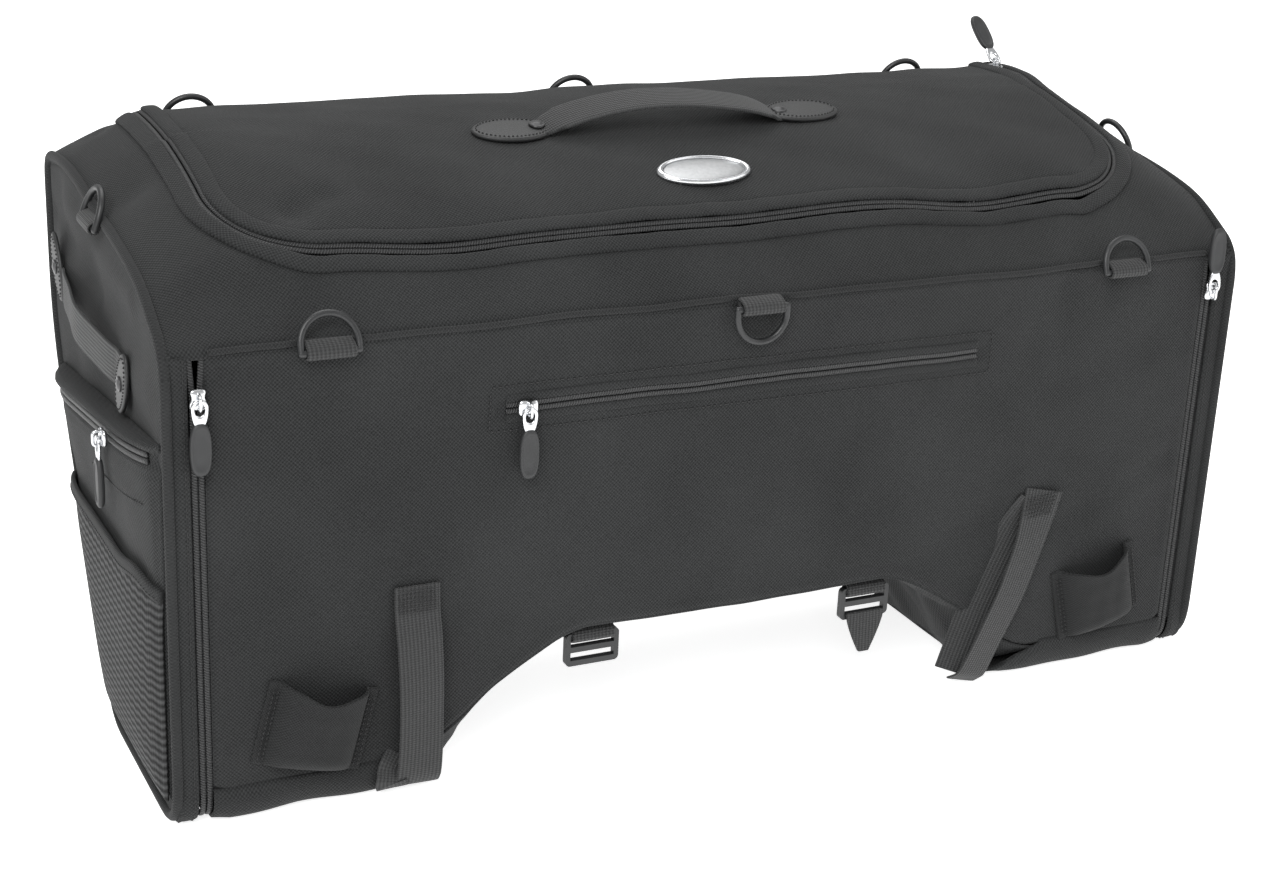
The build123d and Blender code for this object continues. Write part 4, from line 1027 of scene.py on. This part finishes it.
left_line = [
    (-188, -0.9, 117), (-188, -1.2, 103), (-187.6, -4.6, 88), (-187, -6.8, 62),
    (-187, -6.6, 30), (-187.5, -5.4, 12), (-188, -2.0, 4.6), (-188.5, 5.0, 4.4),
]
left_aim = [(0, -1, 0.1), (0, -1, 0), (0.1, -1, 0), (0, -1, -0.2), (0, -0.1, -1)]
strap = ribbon("tie_strap_left", left_line, WEB_WIDE, left_aim)
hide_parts("tie_straps")
fold_line = [(-200, 4.5, 5.4), (-201, -2.0, 5.0), (-203, -5.0, 9.0), (-201, -2.0, 16.0), (-196, 0.0, 22.0)]
ribbon("tie_strap_left_fold", fold_line, 17.0, [(0, 0.2, -1), (0, -1, -0.3), (0, -1, 0.3)])
right_line = [
    (196, -0.9, 118), (193, -1.6, 104), (187, -4.2, 86), (176, -6.8, 58),
    (163, -6.8, 30), (155, -5.0, 9), (152, 1.0, 3.8),
]
right_aim = [(-0.1, -1, 0.1), (0.2, -1, 0), (0.3, -1, 0), (0.1, -1, -0.3)]
ribbon("tie_strap_right", right_line, WEB_WIDE, right_aim)
back_line = [
    (188, 0.4, 112), (178, 0.6, 98), (167, 0.4, 76), (156, -0.4, 52), (147, -1.4, 28), (142, -1.2, 12),
]
back_aim = [(0.2, -1, 0.1), (-0.5, -1, 0), (-0.6, -1, 0), (-0.5, -1, 0)]
ribbon("tie_strap_right_back", back_line, 18.0, back_aim)
for name, x0, lean in (("left", -188.0, 0.0), ("right", 195.0, 0.3)):
    for row in range(6):
        z0 = 115.0 - row * 2.3
        mid = x0 - row * 2.3 * lean
        row_x = np.linspace(mid - 11.0, mid + 11.0, 24)
        path = np.column_stack([row_x, np.full(24, -2.4 - 0.12 * row), z0 + (row_x - mid) * lean * 0.35])
        stitches(f"tie_strap_tack_{name}_{row}", path, (0.0, -1.0, 0.0), "shell", 1.9, STITCH_WIDE, 0.6)

# ---- Strap pockets ---------------------------------------------------------------------------
# Two small tilted pockets for the loose strap ends: a strip of cloth sewn down along two
# flanges and the bottom, so that it stands out in a round belly with an open mouth.
TILT = np.radians(14.0)
POCKET_CLOTH = weave_finish(
    "pocket_cloth", (0.005, 0.0052, 0.0053), (0.032, 0.033, 0.0335), 0.0008, 0.00025
)
for name, side in SIDES:
    s = np.linspace(-1.0, 1.0, 80)[:, None]
    v = np.linspace(0.0, 1.0, 48)[None, :]
    a = s * 29.0
    mouth = 22.5 - 6.5 * bell(a, 13.0)
    b = -23.0 + v * (mouth + 23.0)
    belly = part(1.0 - (np.abs(a) / 23.5) ** 3.0) ** 0.6
    close = edge_shape(b + 23.0, 10.0) * 0.82 + 0.18
    out = 1.0 + 13.4 * belly * close * (0.9 + 0.1 * v) + 0.4 * rumple(a, b, 81, 16.0) * belly
    x_way = np.array([np.cos(TILT), 0.0, -np.sin(TILT)])
    z_way = np.array([np.sin(TILT), 0.0, np.cos(TILT)])
    local = np.stack([a + 0.0 * b, -out, b], -1)
    base = np.array([-242.0, 0.0, 48.0])
    points = place_at(local, base, x_way, (0.0, 1.0, 0.0), z_way)
    uv = local[..., [0, 2]]
    points = mirrored(points, -side)
    made = sheet_of(f"strap_pocket_cloth_{name}", points, uv, POCKET_CLOTH, 1.4, flip=side > 0)
    belongs(made, "shell", "bag_fabric", "strap_pockets")
    for row, offset in enumerate((-27.0, -24.6, 24.6, 27.0)):
        line = np.column_stack([np.full(40, offset), np.full(40, -2.3), np.linspace(-21.0, 20.0, 40)])
        path = mirrored(place_at(line, base, x_way, (0.0, 1.0, 0.0), z_way), -side)
        stitches(f"strap_pocket_stitches_{name}_{row}", path, (0.0, -1.0, 0.0), "shell", 2.8)

# ---- Buckles ---------------------------------------------------------------------------------
# Two-slot buckles of the same plastic hang under the arch in loops of webbing. The right one
# still holds the folded end of its strap.
for name, side in SIDES:
    turn = np.radians(np.linspace(-250.0, 70.0, 48)) + np.pi
    loop = np.stack([0.0 * turn + side * BUCKLE_X, 9.0 + 3.6 * np.sin(turn), 69.5 + 3.6 * np.cos(turn)], -1)
    line = np.concatenate([loop, [(side * BUCKLE_X, 9.6, 75.5), (side * BUCKLE_X, 9.6, 77.5)]])
    steps = np.gradient(line, axis=0)
    out = np.cross(steps, (1.0, 0.0, 0.0))
    out /= np.linalg.norm(out, axis=1, keepdims=True)
    tab = sweep(f"buckle_tab_{name}", line, out, webbing_outline(WEB_WIDE, TAB_T), WEBBING)
    belongs(tab, "shell", "webbing", "buckle_tabs")
    coat("buckle_" + name, RING_PLASTIC)
t = np.linspace(0.0, 1.0, 40)
tail_line = np.column_stack([BUCKLE_X + 0.0 * t, 9.0 - 3.2 - 0.9 * t, 56.0 - 24.0 * t])
taper = 1.0 - 0.72 * part((t - 0.1) / 0.9) ** 1.3
tail_shape = webbing_outline(24.0, 1.5)[None] * np.stack([taper, 1.0 + 0.8 * t], -1)[:, None]
tail = sweep("buckle_tail_fold", tail_line, (0.0, -1.0, 0.0), tail_shape, WEBBING)
belongs(tail, "buckle_right", "webbing", "buckle_tail")

# ---- Badge -----------------------------------------------------------------------------------
# A plain oval badge: a bright rim round a domed inlay, fixed to the front of the lid.
CHROME = Finish("bright_plating")
haze = CHROME.cloud(160.0, 3.0)
CHROME_SKIN = CHROME.surface(
    CHROME.blend(haze, (0.62, 0.63, 0.65), (0.8, 0.81, 0.82)), 0.16 + haze * 0.14, Metallic=1.0
)
INLAY = Finish("badge_inlay")
brush = INLAY.cloud(500.0)
INLAY_SKIN = INLAY.surface(
    INLAY.blend(brush, (0.3, 0.305, 0.31), (0.5, 0.505, 0.51)), 0.3 + brush * 0.2, Metallic=1.0
)
badge_y = np.array(70.0)
badge_n = surface_normal(lid_height, np.array(0.0), badge_y)
badge_back = np.cross(badge_n, (1.0, 0.0, 0.0))
origin = (0.0, 70.0, lid_height(np.array(0.0), badge_y) + 0.2)
turn = round_turn(90)[None, :]
rim_radii = [0.86, 0.87, 0.9, 0.94, 0.98, 1.0, 1.0, 0.9]
rim_rises = [0.6, 2.4, 3.2, 3.3, 2.7, 1.6, 0.0, 0.0]
inlay_radii = [0.0, 0.3, 0.6, 0.8, 0.87, 0.87]
inlay_rises = [3.0, 2.9, 2.6, 2.2, 1.8, 0.3]
for name, skin, radii, rises in (
    ("badge_rim", CHROME_SKIN, rim_radii, rim_rises),
    ("badge_inlay", INLAY_SKIN, inlay_radii, inlay_rises),
):
    r = np.array(radii)[:, None]
    h = np.array(rises)[:, None]
    flat = np.stack([r * 28.0 * np.cos(turn), r * 13.5 * np.sin(turn), h + 0.0 * turn], -1)
    points = place_at(flat, origin, (1, 0, 0), badge_back, badge_n)
    faces = [list(f) for f in grid_faces(len(radii), 90, ring=True)]
    last = (len(radii) - 1) * 90
    if name == "badge_rim":
        faces += [[last + (k + 1) % 90, last + k, k, (k + 1) % 90] for k in range(90)]
    else:
        faces += [list(range(last, last + 90))]
    made = tidy(put(name, points, flat[..., :2], faces, skin))
    belongs(made, "lid", "chrome_metal", "badge")

# ---- Zip sliders and pulls -------------------------------------------------------------------
# Plated sliders with a bail. Each pull is a plated tongue with a wide eye, and a soft moulded
# sleeve with a raised border over its end.
RUBBER = plastic_finish("pull_rubber", (0.014, 0.0145, 0.015), (0.032, 0.033, 0.034), 0.45)


def turn_about(axis, degrees):
    """Matrix that turns about X, Y or Z, written for points as rows."""
    c, s = np.cos(np.radians(degrees)), np.sin(np.radians(degrees))
    a, b = {"x": (1, 2), "y": (2, 0), "z": (0, 1)}[axis]
    m = np.eye(3)
    m[a, a] = m[b, b] = c
    m[a, b], m[b, a] = s, -s
    return m


def closed_form(name, points, ways, material, body, side=1):
    """A closed grid of points moved into place as one smooth piece."""
    rows, columns = points.shape[:2]
    moved = points @ ways[0] + ways[1]
    if side < 0:
        moved = mirrored(moved, -1)
    made = tidy(put(name, moved, points[..., [0, 2]], grid_faces(rows, columns, ring=True), material))
    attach(made, body)
    return made


def pull_pieces(name, ways, body, side=1):
    """The plated tongue with its eye, and the sleeve over the tongue's end."""
    turn = round_turn(64)
    hole = np.stack([2.5 * np.sin(turn), -4.2 + 3.0 * np.cos(turn)], -1)
    tip = np.where(np.cos(turn) > 0, 4.2, 11.0)
    reach = np.stack([4.2 * np.sin(turn), -3.1 + tip * np.cos(turn)], -1)
    phi = round_turn(12)
    mid, half = (hole + reach) / 2, (reach - hole) / 2
    ring = mid[:, None] + half[:, None] * squared(np.cos(phi), 0.6)[None, :, None]
    thick = 0.75 * squared(np.sin(phi), 0.7)
    points = np.stack([ring[..., 0], np.broadcast_to(thick, ring.shape[:2]), ring[..., 1]], -1)
    points = np.concatenate([points, points[:1]])
    head = closed_form(f"pull_head_{name}", points, ways, CHROME_SKIN, body, side)
    turn = round_turn(72)[None, :]
    face_r = np.array([0.001, 0.45, 0.74, 0.78, 0.84, 0.9, 0.97, 1.0])
    face_h = np.array([1.35, 1.32, 1.25, 1.6, 1.68, 1.6, 1.0, 0.0])
    r = np.concatenate([face_r, face_r[-2::-1]])[:, None]
    h = np.concatenate([face_h, -face_h[-2::-1]])[:, None]
    wide = squared(np.cos(turn), 0.75) * 5.3
    long = squared(np.sin(turn), 0.75) * 13.5
    points = np.stack([r * wide, h + 0.0 * turn, -24.0 + r * long], -1)
    sleeve = closed_form(f"pull_sleeve_{name}", points, ways, RUBBER, body, side)
    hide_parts("pull_" + name)


def slider_pieces(name, ways, body, upright, side=1):
    """Slider body: a waisted plated block with a raised back, and the bail over it."""
    u = np.linspace(-1.0, 1.0, 26)[:, None]
    phi = round_turn(28)[None, :]
    waist = 4.3 * (1.0 - 0.22 * bell(u - 0.25, 0.4)) * (1.0 - np.abs(u) ** 6) ** 0.4
    high = (1.25 + 0.5 * (1 - u**2)) * (1.0 - np.abs(u) ** 6) ** 0.4
    a = waist * squared(np.cos(phi), 0.6)
    b = high * squared(np.sin(phi), 0.7)
    along = 5.5 * u + 0.0 * phi
    points = np.stack([a, 2.75 + b, along] if upright else [along, 2.75 + b, a], -1)
    block = closed_form(f"slider_body_{name}", points, ways, CHROME_SKIN, body, side)
    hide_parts("slider_" + name)
    bail_line = rounded([(3.0, 3.2), (-2.3, 3.2), (-2.3, -4.2), (3.0, -4.2)], [2.0, 2.0], 0.4)
    path = np.column_stack([0.0 * bail_line[:, 0], bail_line]) @ ways[0] + ways[1]
    normal = np.array([1.0, 0.0, 0.0]) @ ways[0]
    if side < 0:
        path, normal = mirrored(path, -1), mirrored(normal, -1)
    bail = sweep(f"slider_bail_{name}", path, normal, oval_outline(0.85, 0.8, 12), CHROME_SKIN)
    belongs(bail, body, "chrome_metal")


ON_COIL = 4.4
side_ways = turn_about("z", 90.0)
lid_tilt = np.degrees(np.arctan2(CROWN_Y - 196.0, 379.0))
lid_origin = np.array([272.0, 196.0, CROWN_Z + np.sqrt(CROWN_R**2 - (196.0 - CROWN_Y) ** 2)])
lid_ways = turn_about("x", -90.0) @ turn_about("x", lid_tilt)
lid_origin = lid_origin + np.array([0.0, 0.0, ON_COIL]) @ turn_about("x", lid_tilt)
zips = (
    ("front", np.eye(3), (-130.0, -ON_COIL, 206.0), False, 0.0, 1),
    ("corner_left", np.eye(3), (-298.0, -ON_COIL, 229.0), True, 0.0, 1),
    ("corner_right", np.eye(3), (298.0, -ON_COIL, 229.0), True, -183.0, 1),
    ("side_right", side_ways, (329.3, 74.0, 187.584), False, 0.0, 1),
    ("side_left", side_ways, (329.3, 74.0, 187.584), False, 0.0, -1),
    ("lid", lid_ways, lid_origin, True, -140.0, 1),
)
for name, ways, origin, upright, swing, side in zips:
    origin = np.asarray(origin, float)
    slider_pieces(name, (ways, origin), "slider_" + name, upright, side)
    pull_pieces(name, (turn_about("x", swing) @ ways, origin), "pull_" + name, side)

# ---- Inside ----------------------------------------------------------------------------------
# Seen with the lid open: coated lining on the pocket bag and the gussets, and thin boards that
# keep the front and the rear flat.
LINING = Finish("coated_lining")
crackle = LINING.cloud(120.0, 4.0)
LINING_SKIN = LINING.surface(
    LINING.blend(crackle, (0.03, 0.03, 0.031), (0.07, 0.07, 0.072)),
    0.5 + crackle * 0.2, crackle, 0.0006, 0.6,
)
BOARD = plastic_finish("board", (0.08, 0.08, 0.08), (0.14, 0.14, 0.14), 0.6)
for node_name, skin in (
    ("front_pocket", LINING_SKIN), ("gusset_left", LINING_SKIN), ("gusset_right", LINING_SKIN),
    ("stiffener_boards", BOARD),
):
    coat(node_name, skin)

# ---- Floor, light and camera ----------------------------------------------------------------
# A pale table with wide soft lamps on three sides, and the camera above the bag's left end.


def lamp(name, place, aim, size, power):
    """A square soft lamp at place that looks at aim, in metres."""
    data = bpy.data.lights.new(name, "AREA")
    data.size = size
    data.energy = power
    made = bpy.data.objects.new(name, data)
    made.location = place
    look = np.array(aim) - np.array(place)
    made.rotation_euler = Vector(look).to_track_quat("-Z", "Y").to_euler()
    bpy.context.scene.collection.objects.link(made)


lamp("key", (-1.3, -1.6, 1.9), (0.0, 0.0, 0.15), 1.6, 50.0)
lamp("fill", (1.9, -1.3, 1.2), (0.0, 0.0, 0.15), 1.8, 12.0)
lamp("overhead", (0.2, 0.8, 2.2), (0.0, 0.0, 0.25), 1.8, 24.0)
bpy.context.scene.view_settings.view_transform = "Standard"
world = bpy.data.worlds.new("studio")
bpy.context.scene.world = world
world.use_nodes = True
world.node_tree.nodes["Background"].inputs[0].default_value = (1.0, 1.0, 1.0, 1.0)
world.node_tree.nodes["Background"].inputs[1].default_value = 0.5

paper = Finish("pale_floor")
paper_tone = paper.blend(paper.cloud(6.0), (0.86, 0.86, 0.86), (0.9, 0.9, 0.9))
paper.surface(paper_tone, 0.8, Emission_Color=(1.0, 1.0, 1.0, 1.0), Emission_Strength=0.8)
floor_x = np.array([[-6000.0, -6000.0], [6000.0, 6000.0]])
floor_y = np.array([[-6000.0, 6000.0], [-6000.0, 6000.0]])
floor = put(
    "floor", np.stack([floor_x, floor_y, 0.0 * floor_x - 0.3], -1),
    np.stack([floor_x, floor_y], -1), grid_faces(2, 2), paper.material,
)

AZ, EL, ROLL = np.radians([26.546, 20.257, 2.611])
ahead = np.array([np.sin(AZ) * np.cos(EL), np.cos(AZ) * np.cos(EL), -np.sin(EL)])
right = np.array([np.cos(AZ), -np.sin(AZ), 0.0])
over = np.cross(right, ahead)
cam_right = np.cos(ROLL) * right + np.sin(ROLL) * over
cam_up = -np.sin(ROLL) * right + np.cos(ROLL) * over
camera_data = bpy.data.cameras.new("camera")
camera_data.lens = 62.51
camera_data.sensor_width = 36.0
camera = bpy.data.objects.new("camera", camera_data)
turned = np.stack([cam_right, cam_up, -ahead], -1)
place = np.array([-549.2, -967.8 + FRONT_Y, 579.5]) * 0.001
camera.matrix_world = Matrix([[*turned[k], place[k]] for k in range(3)] + [[0.0, 0.0, 0.0, 1.0]])
bpy.context.scene.collection.objects.link(camera)
bpy.context.scene.camera = camera
